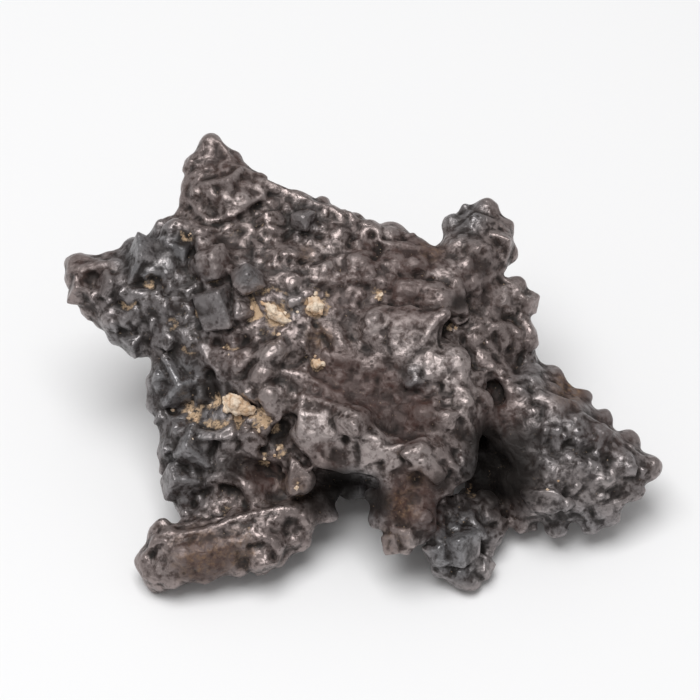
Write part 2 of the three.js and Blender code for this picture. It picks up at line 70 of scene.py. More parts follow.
# Crystals that stand on the broad face, by arm and field, as [x, y, width].
BLOCKS = [
    # upper left arm
    [-21.4, 29.8, 2.6], [-24.2, 28.4, 2.6], [-21.6, 27.2, 2.4], [-23.2, 23.8, 2.6],
    [-18.4, 26.4, 2.2], [-13.4, 27.4, 2.4], [-18.4, 20.2, 2.2],
    # left arm
    [-40.2, 10.8, 2.6], [-38.2, 8.2, 3], [-37.6, 11.6, 1.8], [-35.8, 7.4, 2.2], [-34.2, 8.6, 2.6],
    [-35.4, 4, 3], [-39.4, 5.6, 2.8], [-31.8, 6, 2.2], [-29.4, 4.4, 2.2], [-27.6, 6.2, 2.2],
    [-26.6, 1.6, 2.6], [-23.6, 1.4, 2.4], [-28.8, 1.2, 2], [-33.4, 12, 2], [-26.4, 9.4, 2.4],
    [-24, 8.6, 2.2], [-24.6, 4.4, 2],
    # between the left arm and the middle
    [-20.2, 8.6, 2.8], [-19.6, 4.8, 3], [-16.6, 2.6, 2.2], [-21.6, 2.2, 1.8], [-15.2, 10.6, 2.6],
    [-13.2, 13.4, 2], [-16.2, 13.6, 2.2],
    # left nubs
    [-28.6, -3.8, 3.4], [-26, -6.8, 2.6], [-28.2, -9.8, 3], [-27.2, -14.6, 2.6], [-15.2, -6, 3.4],
    [-14.2, -12.4, 3], [-14.4, -15, 2.2], [-18.4, -14.2, 2.6], [-19, -16.4, 2],
    # lower left arm
    [-24.4, -24.2, 2.6], [-21.4, -24.4, 2.2], [-27.2, -28, 2], [-29.4, -31.4, 2.2],
    [-29.4, -34.8, 2.2], [-18.8, -26.8, 2], [-14.4, -26.8, 2],
    # top field
    [-12, 19, 3], [-12, 22.2, 2], [-9.4, 21.4, 2], [-3.6, 20.6, 2.2], [-1.2, 20, 2],
    [-3.8, 18.6, 2.2], [-1.4, 17.8, 2], [0.8, 17.2, 1.6], [-11, 16.4, 2.4], [-7.8, 16.8, 2],
    [-6, 16.2, 2.2], [-3, 15.6, 1.8], [-1.2, 13.8, 2], [-13.6, 15.6, 2.2], [-9.8, 14.4, 2],
    [-8.6, 12.4, 2.2], [-6.4, 12.4, 2], [-12, 12.6, 2.2], [-13, 10.4, 2.4], [-1.8, 11.2, 1.8],
    [-4, 11.8, 1.8], [1.4, 15.2, 2.2], [1.8, 12.6, 2], [5.4, 12.6, 2], [6.2, 10.6, 2.2],
    [8.6, 17, 2], [13.4, 17.2, 2.6], [3.4, 11.4, 1.8],
    # middle
    [-7, 1, 2.8], [-2.4, 5.6, 2.4], [0.6, 6.4, 2], [3.6, 4.6, 2.2], [2.2, 2.6, 2], [4.8, 1.8, 1.8],
    [-8, -4, 1.8], [-6.4, -4.8, 1.6], [-5, -5.6, 1.6], [-3.6, -6.6, 1.5], [6.8, -7.2, 2],
    [-6.6, 6.4, 1.6], [8.8, 9.8, 1.8], [12.4, -7.8, 2],
    # blade and lower right tip
    [13.6, -22.2, 2.6], [16.6, -21, 2], [5.6, -22, 2], [6.6, -27.8, 3], [10.6, -24.8, 2.2],
    [7.8, -25, 1.8], [15.8, -26.2, 2.6], [22.2, -25.6, 2.8], [20.6, -22.8, 3], [20.6, -30.4, 2.2],
    [13.4, -30.6, 2.4], [18.4, -34.2, 2.8],
    # right arm
    [29, -11.8, 2.8], [33.6, -10, 2.6], [31.8, -12.6, 2.8], [34, -13.4, 2.2], [31, -14.6, 2],
    [36.8, -12.4, 2.8], [39.2, -14.2, 2.2], [41.8, -14.6, 2.4], [41.2, -17.2, 2.2],
    [43.6, -18, 2], [36.4, -15.4, 2], [34, -16.8, 2.4], [28.4, -16.4, 3], [29, -19.2, 2.2],
    [31.6, -18.2, 2], [33.6, -20, 2.2], [36.4, -19.4, 2], [38.6, -17.8, 3], [41.2, -20.6, 2],
    [37.2, -21.4, 2.4], [26.6, -17.6, 2.4], [43, -21.2, 1.8], [31.8, -22.4, 2],
    # upper right arm and right edge
    [21.8, 18, 2.6], [20.2, 15.6, 2.4], [18.2, 18.4, 2], [16.6, 16.6, 2.2], [17.8, 13.4, 2],
    [19, 8.4, 2.2], [25.4, 8.8, 2.6], [23.6, 6.2, 2.2], [26.8, 6, 2.4], [20.4, 12.2, 2],
    [19.4, 3.6, 2], [20.6, 0.8, 2.2], [25.2, -6.4, 3], [22.6, -3.4, 2.2],
]
# The few large crystals, each a cube with a corner towards the viewer, as x, y, width, how far
# it is sunk, the lean of its corner to the right and up, and its turn in degrees.
LARGE = [
    [-25.3, -4.6, 6.6, 0.30, 0.0, 0.1, 15], [-23.4, -14.4, 5.8, 0.32, -0.2, 0.1, 30],
    [-25.6, -19.4, 5.2, 0.30, -0.3, 0.0, 40], [-30.6, 13.6, 6.2, 0.34, -0.1, 0.2, 100],
    [-19.4, 7.4, 6.0, 0.34, 0.1, 0.5, 80], [-15.2, 10.8, 3.8, 0.28, 0.2, 0.3, 20],
    [-20.4, 13.6, 4.6, 0.44, 0.0, 0.4, 60], [-25.2, 15, 4.0, 0.30, 0.3, 0.2, 110],
    [15.8, -28.6, 5.4, 0.30, -0.1, 0.2, 25], [20.4, -24.6, 3.8, 0.26, 0.2, 0.1, 70],
    [-7, 19.6, 3.2, 0.26, 0.0, 0.2, 50], [-32.6, 1.2, 4.2, 0.34, -0.2, -0.2, 35],
    [23.2, 16.2, 3.8, 0.30, 0.4, 0.1, 10], [30.6, -12.6, 3.6, 0.28, 0.1, 0.3, 75],
    [9.6, -4.2, 3.4, 0.40, 0.1, 0.2, 20], [-18.2, 25, 5, 0.44, 0.1, 0.3, 90],
    [-40.4, 9.4, 4.4, 0.3, -0.3, 0.1, 50], [-35.8, 10, 3.8, 0.3, 0, 0.3, 5],
    [19.4, -32.4, 3.6, 0.3, 0.2, -0.3, 100], [37.4, -12.6, 3.4, 0.3, 0.1, 0.3, 45],
    [8.4, -26.6, 3.8, 0.3, 0, 0.2, 65], [26.8, 7.4, 3.4, 0.3, 0.3, 0.2, 95],
]
# Round nubs, as [x, y, width].
DOMES = [
    [-11.4, -0.4, 3.8], [-12.4, -3.4, 3.6], [-11.2, -7.2, 3.6], [-10.4, -10.6, 2.6],
    [-16.5, 5.5, 2.8], [-1.5, 1.4, 2.4], [-28, 19, 4.4], [-13, -31, 5], [-28, -25.8, 3.8],
    [-18.4, -23.6, 2.4], [-12.8, -19.6, 2.4], [-8.6, -28, 3], [2.4, -6, 1.7], [-1.4, -4.1, 1.6],
    [15.4, -13.8, 1.2], [18.8, -4.4, 3.2], [23.4, 1.4, 4], [27, 1, 3], [27.6, -3.2, 3.4],
    [30.6, -5.8, 3.6], [19, -8.2, 2], [14, -10.2, 3.6], [9.8, 12.8, 3], [3.4, 20, 3.2],
    [15.4, -16.4, 2.6], [25.6, -26.4, 3], [31.4, -26.8, 2.2], [45.4, -18.4, 2.2],
    [17.6, 21.6, 3], [8, -29, 2.4],
]

# Low swells that close the hollows between the arms, as x, y, z and the three radii.
SWELLS = [
    [-25.4, 16.8, 0.6, 3.4, 3, 2.4], [-1, -1.2, 5.6, 4.6, 3.6, 3.2],
    [3.2, -2.6, 6, 4.6, 3.2, 3.1], [6.4, -4.4, 6.4, 3.6, 2.6, 3],
    [12.6, 7.2, 3.6, 4, 2.8, 3.8], [8.6, 8.2, 3.4, 4, 2.6, 3.2], [15.4, 6, 3.2, 2.4, 2.4, 2.6],
    [20.4, -19.4, -3.6, 3.2, 3.6, 3], [21.6, -15.4, -2.4, 3, 3.6, 3],
    [-23.2, 11, 0.6, 2.4, 2.4, 2.2], [23.6, -23.4, -1.2, 2.8, 2.8, 2.4],
    [0.8, -20.5, 0.4, 3.6, 1.9, 2.4],
]

# Crystal faces that stayed flat, as the height of the face over its surroundings and its corners.
FACES = [
    [0.4, (-19.6, 27.4), (-15.8, 26.4), (-12.8, 24.9), (-12.7, 23.2), (-15, 22), (-19, 22.4)],
    [0.6, (-42.6, 13.8), (-41, 14.6), (-37, 13.4), (-34.6, 13.6), (-35, 12.2), (-42.6, 11.4)],
    [0.6, (-35.2, 2.4), (-32, 2.4), (-30.6, 0.2), (-32, -0.8), (-34, 0.2)],
    [1.2, (-26.4, -12.4), (-24.6, -11.2), (-20, -12), (-17, -10.6), (-16.4, -12.6), (-20, -13.6)],
    [0.8, (-17.8, -4.8), (-13.2, -4.8), (-13, -7.4), (-15.6, -7.8)],
    [0.9, (-9.6, 7.8), (-7.2, 8.2), (-6.8, 7.2), (-9, 6)],
    [0.6, (4.8, 18.4), (6.6, 18.8), (7.6, 17.4), (6, 16.8)],
    [0.6, (-7.8, -8.8), (-3.4, -9.4), (-2.8, -12.4), (-5, -13.6), (-7.8, -13)],
    [0.6, (-2.4, -9.8), (0.8, -10.2), (1.4, -12.4), (-1.6, -12.6)],
    [0.6, (1.4, -12), (4.6, -13), (5.2, -15.8), (1.8, -16.8)],
    [0.6, (5.2, -14.4), (7.4, -13.6), (7, -17), (5.2, -18)],
    [0.6, (-8.8, -15.4), (-5.2, -18.6), (-6, -20.2), (-9.2, -21.4)],
    [0.6, (6.4, 4), (9, 5), (12.8, 4.6), (11.4, 1), (7.4, -2), (5.8, 1)],
    [0.6, (11.4, -0.8), (16.4, -0.8), (17.2, -4.6), (13.4, -4.6), (11, -4.4)],
    [0.5, (8.4, -2.4), (10.2, -2.4), (10.2, -5.4), (8.4, -5.6)],
    [0.6, (7.4, -15), (10.6, -13.8), (12.4, -14.8), (14.4, -18), (12.6, -19.8), (9.4, -16.6)],
    [0.8, (15.2, 10.8), (16.4, 11), (17.4, 8), (15.4, 7.4)],
    [0.8, (10.6, -23.6), (12.4, -24), (12.6, -26.6), (10.8, -26.2)],
    [0.8, (10.4, -29), (13.6, -28.6), (14, -31.6), (12.6, -32)],
    [0.8, (17.8, -31), (19.6, -29.8), (19.4, -32), (17.6, -32.8)],
    [0.8, (25.2, -20.8), (30.2, -20.6), (32.8, -22.6), (30.8, -24), (26, -22.8)],
    [0.8, (35.6, -22), (38, -23), (41.6, -22), (44, -20.2), (40, -23.8), (37, -25.2)],
    [0.8, (22.6, 17.2), (24, 18.6), (24.6, 16.4), (23, 13.2), (22.4, 15)],
    [0.7, (20.2, 10), (23.6, 9.6), (24, 6.6), (20.8, 6.2)],
]

# Long edges where two faces meet or a layer of the growth ends, as a width and the path.
CRESTS = [
    [1.5, (-21.8, 32), (-19.8, 31.6), (-17.6, 28.6), (-14.4, 27.8), (-12.4, 25.4)],
    [1.3, (-19.4, 31.6), (-17.4, 31.4), (-15.2, 29), (-12.6, 27.4), (-11.8, 25.6)],
    [1.4, (-19.6, 27.4), (-15.8, 26.4), (-12.8, 25)],
    [0.9, (-19, 24.4), (-16.4, 24.6), (-13.4, 24)],
    [1.1, (-20, 27), (-19.8, 24.6), (-18.8, 22.2), (-15, 21.8), (-12.7, 23.2)],
    [1.3, (-24.8, 23), (-23.4, 20.8), (-21.4, 19.4), (-18.6, 19.4), (-16.2, 20.6), (-13.6, 22)],
    [1.0, (-25.6, 17.6), (-26.4, 15), (-27.8, 12.6)],
    [1.0, (-33, 12.2), (-31.6, 11), (-30, 11.4), (-29.2, 12.6)],
    [1.1, (-43, 11.4), (-40.4, 11.8), (-37, 12.6), (-34, 13.4)],
    [1.1, (-24, 12), (-20.6, 11.4), (-17.6, 11.8)],
    [1.0, (-16.6, 11), (-15, 10.6), (-13.4, 9.6)],
    [1.2, (-31.6, 8), (-30.4, 6.6), (-30.6, 4.4)],
    [1.4, (-22, 0.6), (-21.2, -1.4), (-19.8, -3.4), (-18.8, -4.8)],
    [1.4, (-19, -4.4), (-16.6, -3), (-14.8, -1.2), (-13.6, -0.4)],
    [1.0, (-27, -3.2), (-24.8, -5.8), (-22.6, -5.2)],
    [1.2, (-30.2, -3), (-29, -5.4), (-28.4, -7.6), (-26.4, -10.6), (-25.6, -12.4)],
    [1.1, (-26.2, -12.8), (-24.4, -15.6), (-22.6, -17.8)],
    [1.6, (-9.4, -7.6), (-9.8, -10), (-11.6, -12.2), (-12.6, -14)],
    [1.7, (-21.4, -20), (-20.2, -18.7), (-18, -18.1), (-16.2, -18.8), (-15.2, -20.4)],
    [1.4, (-20.8, -21.8), (-19.4, -22.8), (-17.4, -21.9)],
    [1.4, (-26, -27.4), (-22.4, -26.4), (-18, -25.2), (-14, -24), (-9.8, -23.2), (-5, -23.4)],
    [1.2, (-29, -25.2), (-28.8, -28), (-30, -30), (-31, -31.6), (-30.2, -33.4), (-28, -35)],
    [1.1, (-28.2, -29.8), (-28, -32.4), (-26, -34.8)],
    [1.5, (-14, 25), (-11, 24.1), (-7.4, 22.9), (-5, 22), (-2.4, 21.7), (0, 20.3), (1.6, 18.8)],
    [1.2, (-9, 24.2), (-5, 23.1), (-1, 22.4), (1.6, 20.8), (2.6, 19.2)],
    [1.2, (3, 17), (5, 16.4), (8, 16), (10, 15.2), (13, 15.4)],
    [1.3, (-9.2, -3.2), (-6.6, -3.8), (-4, -5.2), (-1.8, -6.6)],
    [1.4, (-8.6, -6.6), (-5, -7.2), (-2, -8.2), (1, -9.4), (3.6, -11.4), (5.4, -13)],
    [1.2, (-9, -14), (-6.6, -15.4), (-4.8, -17.8), (0, -18.2), (3.4, -18.8), (6.4, -19.6)],
    [1.3, (6.6, -15), (8.2, -14), (11, -13), (12.6, -14.4), (13.6, -16.6), (17.2, -19.6)],
    [1.5, (15, -9.4), (16.6, -9.2), (17.6, -11), (18.4, -13.4), (18.2, -17), (17.6, -19.6)],
    [1.4, (9.6, -6.6), (12.4, -6), (15, -5), (16.8, -6), (17.8, -7.8), (19, -9.8)],
    [1.3, (22, -7.6), (21.8, -10.4), (22.4, -12.6), (20.4, -14.6)],
    [1.1, (13, 4.4), (12, 3.4), (11, 1.6), (10, 0.4)],
    [1.2, (17.4, -6), (18, -4), (20.4, -3.2), (22, -1.6)],
    [1.2, (13, -21.4), (14.4, -20.9), (16.6, -21.7), (17.4, -20.2)],
    [1.3, (4.8, -26.4), (7, -29.3), (8.2, -29.7), (10.4, -27.8), (13.4, -26.8)],
    [1.1, (10.2, -28.8), (12, -31.8), (14, -33.4), (17, -32.9), (19.6, -31.6)],
    [1.1, (19, -24.8), (20.4, -26.8), (21.4, -29.6)],
    [1.3, (28.6, -7), (31, -8.8), (33.4, -8), (34.8, -9.6), (36.4, -10.6), (38.6, -12.6),
     (41.6, -14.4), (43.6, -16), (45.2, -18.8)],
    [1.0, (35.2, -11), (35.4, -12.8), (37, -13.9), (38.4, -15), (40, -16.4), (42.4, -18)],
    [1.1, (30.4, -15.6), (32.6, -15.8), (34.2, -16.6)],
    [1.4, (24.2, -24.4), (26, -23.3), (28.4, -22.8), (29.8, -23.4), (30.6, -25.4)],
    [1.1, (29, -3.8), (31, -4.4), (32.4, -7)],
    [1.2, (16.6, 19.8), (18.8, 21.1), (22, 20.6), (24, 19)],
    [1.2, (16.2, 18.4), (18.6, 19.8), (21.6, 19.6), (23.4, 18)],
    [1.2, (15.2, 15.6), (17.8, 17.6)],
    [1.4, (24.2, 15.4), (23.4, 13), (21.4, 11), (20.2, 9.4)],
    [1.2, (22, 3.8), (24.4, 4.2), (25.4, 2.4), (25.6, -0.4)],
    [1.2, (28, 8.4), (28.2, 5), (27.6, 2.6)],
]

# Seams between the crystals, open as narrow dark clefts, as width, depth and the path.
SEAMS = [
    [0.5, 1.0, (-24.4, 21.6), (-22, 19.2), (-19.8, 18.7), (-16.4, 19.8), (-13.4, 21.8)],
    [0.6, 1.2, (-25.4, 18), (-24.4, 16), (-23.2, 13.8)],
    [0.5, 1.2, (-28, 17.6), (-26.6, 17.2), (-25.8, 18.2)],
    [0.6, 1.6, (-32, 10.2), (-30.2, 9.8), (-28.6, 10.4), (-27.2, 8)],
    [0.5, 0.9, (-34.6, 7), (-33.4, 6.2), (-31.8, 6.8)],
    [0.5, 1.0, (-33, 3.8), (-32, 2.6), (-31, 4)],
    [0.6, 1.4, (-23.4, 7.4), (-22.4, 5.4), (-22.6, 3.4)],
    [0.5, 1.1, (-17.8, 10), (-17.6, 6.6), (-18, 3.2)],
    [0.5, 1.2, (-15, 4), (-13.6, 5.2), (-14.8, 8.6)],
    [0.8, 1.6, (-20, 1.2), (-17.6, 0.4), (-15.4, 1.4)],
    [1.0, 2.6, (-21.4, -3.8), (-20.8, -5.6), (-20.2, -7.4)],
    [0.7, 2.4, (-23.8, -6.2), (-24, -8)],
    [0.7, 1.2, (-26.8, -9), (-23, -8.7), (-19.8, -7.8)],
    [0.6, 1.4, (-16.6, -10.4), (-16.4, -12.6), (-16.6, -14.6)],
    [0.9, 3.0, (-9.1, -9.9), (-10.2, -12), (-11.8, -13.6), (-12.6, -15)],
    [0.6, 1.6, (-22.4, -17.8), (-20.6, -15.2), (-20, -13.8)],
    [0.6, 1.6, (-22.4, -19.6), (-23.2, -22.8)],
    [0.8, 1.4, (-22.2, -21.4), (-19.6, -20.3), (-17, -21), (-15.6, -22.8)],
    [1.0, 1.6, (-15.6, -17), (-12.8, -17.6), (-10.6, -19)],
    [0.7, 1.0, (-25.4, -25.7), (-22, -25.5), (-19, -24.4)],
    [0.5, 1.0, (-14.6, -28.9), (-12, -28.5), (-11, -30.4)],
    [0.5, 0.8, (-28.4, -26), (-28, -28.6), (-29.2, -30.2)],
    [0.6, 1.0, (-14, 18.8), (-10.8, 19.3), (-9.6, 18.6)],
    [0.6, 1.1, (-12.6, 17.4), (-9.8, 16.8), (-8.6, 18), (-5.6, 17.2), (-4.4, 17)],
    [0.6, 1.1, (-10.4, 13.7), (-8, 13.1), (-5, 13.3), (-3.8, 14)],
    [0.6, 1.0, (0, 15.8), (1.2, 18.4), (1.4, 20.2)],
    [0.8, 1.0, (-14, 8.4), (-11.5, 9.4), (-9, 8.6), (-6, 9.6), (-3, 8.9), (0, 10), (2.6, 9.4)],
    [0.7, 1.4, (3.4, 17.2), (4.6, 15.4), (3.8, 14)],
    [0.6, 1.0, (5, 17), (7, 16.8), (8.4, 17)],
    [0.9, 0.8, (5.6, 9), (8, 7.6), (12.8, 8)],
    [0.8, 0.8, (6, 6.4), (9, 6.2), (13, 6.4)],
    [0.5, 0.8, (7.4, 11.2), (10.6, 11.4), (12, 10.6)],
    [0.5, 0.8, (-5.2, 4), (-4, 2), (-3, 0.2)],
    [0.5, 0.8, (-9.8, -2.4), (-8, -2.2), (-6.4, -1.2)],
    [0.5, 1.0, (8.6, -5.8), (11.4, -6.7), (13.6, -5.5)],
    [0.8, 1.6, (13.6, 0.8), (14, 2.6), (15.2, 4.4), (16.8, 4.4)],
    [0.6, 1.2, (17, 1.6), (18, -0.6), (18.8, -2.4)],
    [0.6, 1.2, (12.4, -15), (14, -17), (14.8, -18.4)],
    [0.6, 1.4, (15.2, -14.8), (16.2, -16.6), (17.2, -18.6)],
    [0.5, 1.0, (10.2, -17.4), (9.6, -19.2)],
    [0.6, 1.0, (14.6, -18.8), (16, -19.4)],
    [0.7, 1.6, (17.4, -25.6), (18.2, -27), (20, -29.8)],
    [0.5, 1.0, (14.2, -24.8), (14.6, -27.4)],
    [0.5, 1.0, (13.8, -25.6), (12.4, -24.9)],
    [0.8, 1.4, (27.2, -7.8), (28.6, -8.2), (28, -10.4), (27.2, -13)],
    [0.5, 0.9, (30.2, -12.8), (30.6, -14.6)],
    [0.5, 0.8, (32, -20.6), (31.6, -22.2)],
    [0.5, 0.8, (33, -24.6), (34.4, -25), (35.2, -27)],
    [0.6, 1.0, (21.6, 4.8), (24.4, 5), (26.2, 3.2), (26.2, 0), (25, -3)],
    [0.6, 1.0, (21.8, 2.4), (22, -1), (23, -3.6)],
    [0.7, 1.2, (18.6, 14.2), (19.4, 12.6), (20, 14.6)],
    [0.5, 0.8, (16, 20.6), (18.4, 22.2)],
    [0.6, 1.0, (20, -5.4), (24, -4.8), (26.6, -4.4), (27.2, -7.4)],
    [0.7, 1.2, (19.4, -7.6), (20.6, -9), (20.6, -11.4)],
]

# Pits, as [x, y, radius, depth].
PITS = [
    [-0.9, -13.3, 0.9, 1.2], [-2, -15.8, 2.2, 0.9], [9.6, -18.8, 1.3, 1.4], [-29.4, 10, 1.2, 1.8],
    [-17.4, -0.4, 1.8, 1.2], [-10.4, -18, 1.4, 1.8], [-22.4, 6, 0.9, 1.2], [4, 15.4, 1, 1.2],
    [24.8, 5.7, 0.8, 1.4], [38.2, -18, 1, 0.6], [-23.6, -8.8, 2, 1], [-8.4, -26, 1.6, 0.5],
    [12.4, -32.6, 0.7, 0.8], [15.2, -33, 0.6, 0.6], [28.6, -8.2, 0.9, 1.2], [19.4, 12.8, 1, 1],
]


def active(piece):
    """Selects one piece alone."""
    bpy.ops.object.select_all(action="DESELECT")
    bpy.context.view_layer.objects.active = piece
    piece.select_set(True)


def finish_with(piece, kind, **settings):
    """Adds one modifier with its settings and applies it."""
    active(piece)
    step = piece.modifiers.new(kind.lower(), kind)
    for key, value in settings.items():
        setattr(step, key, value)
    bpy.ops.object.modifier_apply(modifier=step.name)


def merged_copy(node, name):
    """A copy of a CAD node's mesh with its loose triangles merged."""
    piece = bpy.data.objects.new(name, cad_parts[node].data.copy())
    bpy.context.scene.collection.objects.link(piece)
    piece.data.materials.clear()
    active(piece)
    bpy.ops.object.mode_set(mode="EDIT")
    bpy.ops.mesh.select_all(action="SELECT")
    bpy.ops.mesh.remove_doubles(threshold=0.01 * MM)
    bpy.ops.object.mode_set(mode="OBJECT")
    return piece


def places(piece):
    """The vertices in the growth frame, in millimetres."""
    flat = np.empty(len(piece.data.vertices) * 3, np.float32)
    piece.data.vertices.foreach_get("co", flat)
    return (flat.reshape(-1, 3) / MM - np.array(GROWTH_ORIGIN)) @ TURN


def put(piece, grown):
    """Moves the vertices to places in the growth frame."""
    flat = ((grown @ TURN.T + np.array(GROWTH_ORIGIN)) * MM).astype(np.float32)
    piece.data.vertices.foreach_set("co", flat.ravel())
    piece.data.update()


def outward(piece):
    """The vertex normals in the growth frame."""
    flat = np.empty(len(piece.data.vertices) * 3, np.float32)
    piece.data.vertex_normals.foreach_get("vector", flat)
    return flat.reshape(-1, 3) @ TURN


def ease(values):
    """Turns 0..1 into a rise that starts and ends softly, and holds it there outside."""
    values = np.clip(values, 0, 1)
    return values * values * (3 - 2 * values)


def join_in(piece, corners, faces, rounding):
    """Joins a mesh made in the growth frame to a piece, its edges worn round by the rounding."""
    mesh = bpy.data.meshes.new("crystals")
    mesh.from_pydata(np.asarray(corners).tolist(), [], faces)
    crystals = bpy.data.objects.new("crystals", mesh)
    bpy.context.scene.collection.objects.link(crystals)
    put(crystals, np.asarray(corners))
    if rounding:
        finish_with(crystals, "BEVEL", width=rounding * MM, segments=2, limit_method="NONE")
    active(piece)
    crystals.select_set(True)
    bpy.ops.object.join()


# Corners and faces of the crystal habits, each 1 wide and with a tip straight up, and of the
# round grains.
TIP_UP = np.array(Vector((1, 1, 1)).rotation_difference(Vector((0, 0, 1))).to_matrix())
CUBE = np.array([[x, y, z] for x in (-1, 1) for y in (-1, 1) for z in (-1, 1)]) * 0.36 @ TIP_UP.T
CUBE_SIDES = [(0, 1, 3, 2), (4, 6, 7, 5), (0, 4, 5, 1), (2, 3, 7, 6), (0, 2, 6, 4), (1, 5, 7, 3)]
OCTAHEDRON = np.array([[1, 0, 0], [-1, 0, 0], [0, 1, 0], [0, -1, 0], [0, 0, 1], [0, 0, -1]]) * 0.58
OCTAHEDRON_SIDES = [
    (0, 2, 4), (2, 1, 4), (1, 3, 4), (3, 0, 4), (2, 0, 5), (1, 2, 5), (3, 1, 5), (0, 3, 5),
]
bpy.ops.mesh.primitive_ico_sphere_add(subdivisions=2, radius=0.5)
grain = bpy.context.object
GRAIN = np.array([corner.co for corner in grain.data.vertices])
GRAIN_SIDES = [tuple(side.vertices) for side in grain.data.polygons]
bpy.data.objects.remove(grain)

dice = np.random.default_rng(7)
CUBE_SHARE = 0.65  # of the small crystals, the others being octahedra
WORN_EDGE = 0.12  # rounding of a small crystal's edges, as a share of its width


def grow(piece, seats, aims, widths, habit, sink, lean=0.3, rounding=RAZOR):
    """Adds crystals or round grains that stand on the seats, each sunk by a share of its width
    and leaning off its aim at random."""
    corners, faces = [], []
    count = 0
    for seat, aim, width in zip(seats, aims, widths):
        aim = aim + lean * dice.normal(size=3)
        aim /= np.linalg.norm(aim)
        side = np.cross(aim, dice.normal(size=3))
        side /= np.linalg.norm(side)
        across = np.stack([side, np.cross(aim, side), aim])
        if habit == "grain":
            shape, sides = GRAIN, GRAIN_SIDES
        elif dice.random() < CUBE_SHARE:
            shape, sides = CUBE, CUBE_SIDES
        else:
            shape, sides = OCTAHEDRON, OCTAHEDRON_SIDES
        # No two are alike: each side has its own length and each corner is a little off.
        stretch = width * (0.85 + 0.35 * dice.random(3))
        uneven = shape * stretch + 0.06 * width * dice.normal(size=shape.shape)
        corners.append(seat - aim * width * sink + uneven @ across)
        faces += [tuple(count + k for k in side_of) for side_of in sides]
        count += len(shape)
    if habit == "grain":
        join_in(piece, np.concatenate(corners), faces, rounding)
    else:
        join_in(piece, np.concatenate(corners), faces, WORN_EDGE * np.mean(widths))


CLEAR_HEIGHT = 60  # millimetres out of the broad face, past every tip


def seats_on(piece, spots):
    """Where lines along the growth axis first meet the piece: the places, the normals there, and
    the numbers of the lines that met it."""
    tree = BVHTree.FromObject(piece, bpy.context.evaluated_depsgraph_get())
    down = -(TO_REST.to_3x3() @ Vector((0, 0, 1)))
    found, normals, kept = [], [], []
    for i, (x, y) in enumerate(spots):
        start = (TO_REST @ Vector((x, y, CLEAR_HEIGHT))) * MM
        hit, normal, _, _ = tree.ray_cast(start, down)
        if hit:
            found.append((np.array(hit) / MM - np.array(GROWTH_ORIGIN)) @ TURN)
            normals.append(np.array(normal) @ TURN)
            kept.append(i)
    return np.array(found), np.array(normals), kept


def stand(piece, listed, habit, **settings):
    """Grows listed crystals or grains [x, y, width] on the broad face."""
    found, normals, kept = seats_on(piece, [spot[:2] for spot in listed])
    aims = normals + np.array([0, 0, 0.8])
    widths = [listed[i][2] * (0.8 + 0.5 * max(0, tilt)) for i, tilt in zip(kept, normals[:, 2])]
    grow(piece, found, aims, widths, habit, **settings)


def fill_in(piece):
    """Adds the low swells of the broad face, each an ellipsoid with its own centre and radii."""
    corners, faces = [], []
    for x, y, z, *radii in SWELLS:
        faces += [tuple(len(corners) + k for k in side_of) for side_of in GRAIN_SIDES]
        corners += list(np.array([x, y, z]) + 2 * GRAIN * radii)
    join_in(piece, corners, faces, RAZOR)


def add_large(piece):
    """Adds the large crystals, each at its own lean and turn."""
    found, _, kept = seats_on(piece, [spot[:2] for spot in LARGE])
    corners, faces = [], []
    for seat, k in zip(found, kept):
        _, _, width, sink, across, up, turn = LARGE[k]
        aim = Vector((across, up, 1)).normalized()
        hold = aim.to_track_quat("Z", "Y").to_matrix() @ Matrix.Rotation(math.radians(turn), 3, "Z")
        faces += [tuple(len(corners) + n for n in side_of) for side_of in CUBE_SIDES]
        uneven = CUBE * width * 1.25 + 0.07 * width * dice.normal(size=CUBE.shape)
        corners += list(seat - np.array(aim) * (sink - 0.02) * width + uneven @ np.array(hold).T)
    join_in(piece, corners, faces, 0.4)


FACE_DEPTH = 2.5  # millimetres that each flat face's prism reaches down into the stone
FACE_FLARE = 1.12  # how much wider it is at its foot


def add_faces(piece):
    """Adds the flat faces: each is a low prism whose top leans with the surface under it."""
    corners, sides = [], []
    for rise, *outline in FACES:
        middle = np.mean(outline, axis=0)
        halfway = [0.5 * (middle + np.array(corner)) for corner in outline]
        found, normals, _ = seats_on(piece, [middle, *halfway])
        lean = normals.mean(axis=0)
        lean = lean / max(lean[2], 0.5)
        height = found[:, 2].mean()
        count, n = len(corners), len(outline)
        for depth, spread in ((rise, 1), (-FACE_DEPTH, FACE_FLARE)):
            for x, y in outline:
                dx, dy = x - middle[0], y - middle[1]
                z = height - lean[0] * dx - lean[1] * dy + depth
                corners.append([middle[0] + dx * spread, middle[1] + dy * spread, z])
        sides.append(tuple(range(count, count + n)))
        sides.append(tuple(range(count + 2 * n - 1, count + n - 1, -1)))
        for k in range(n):
            after = (k + 1) % n
            sides.append((count + k, count + n + k, count + n + after, count + after))
    join_in(piece, corners, sides, 0.3)


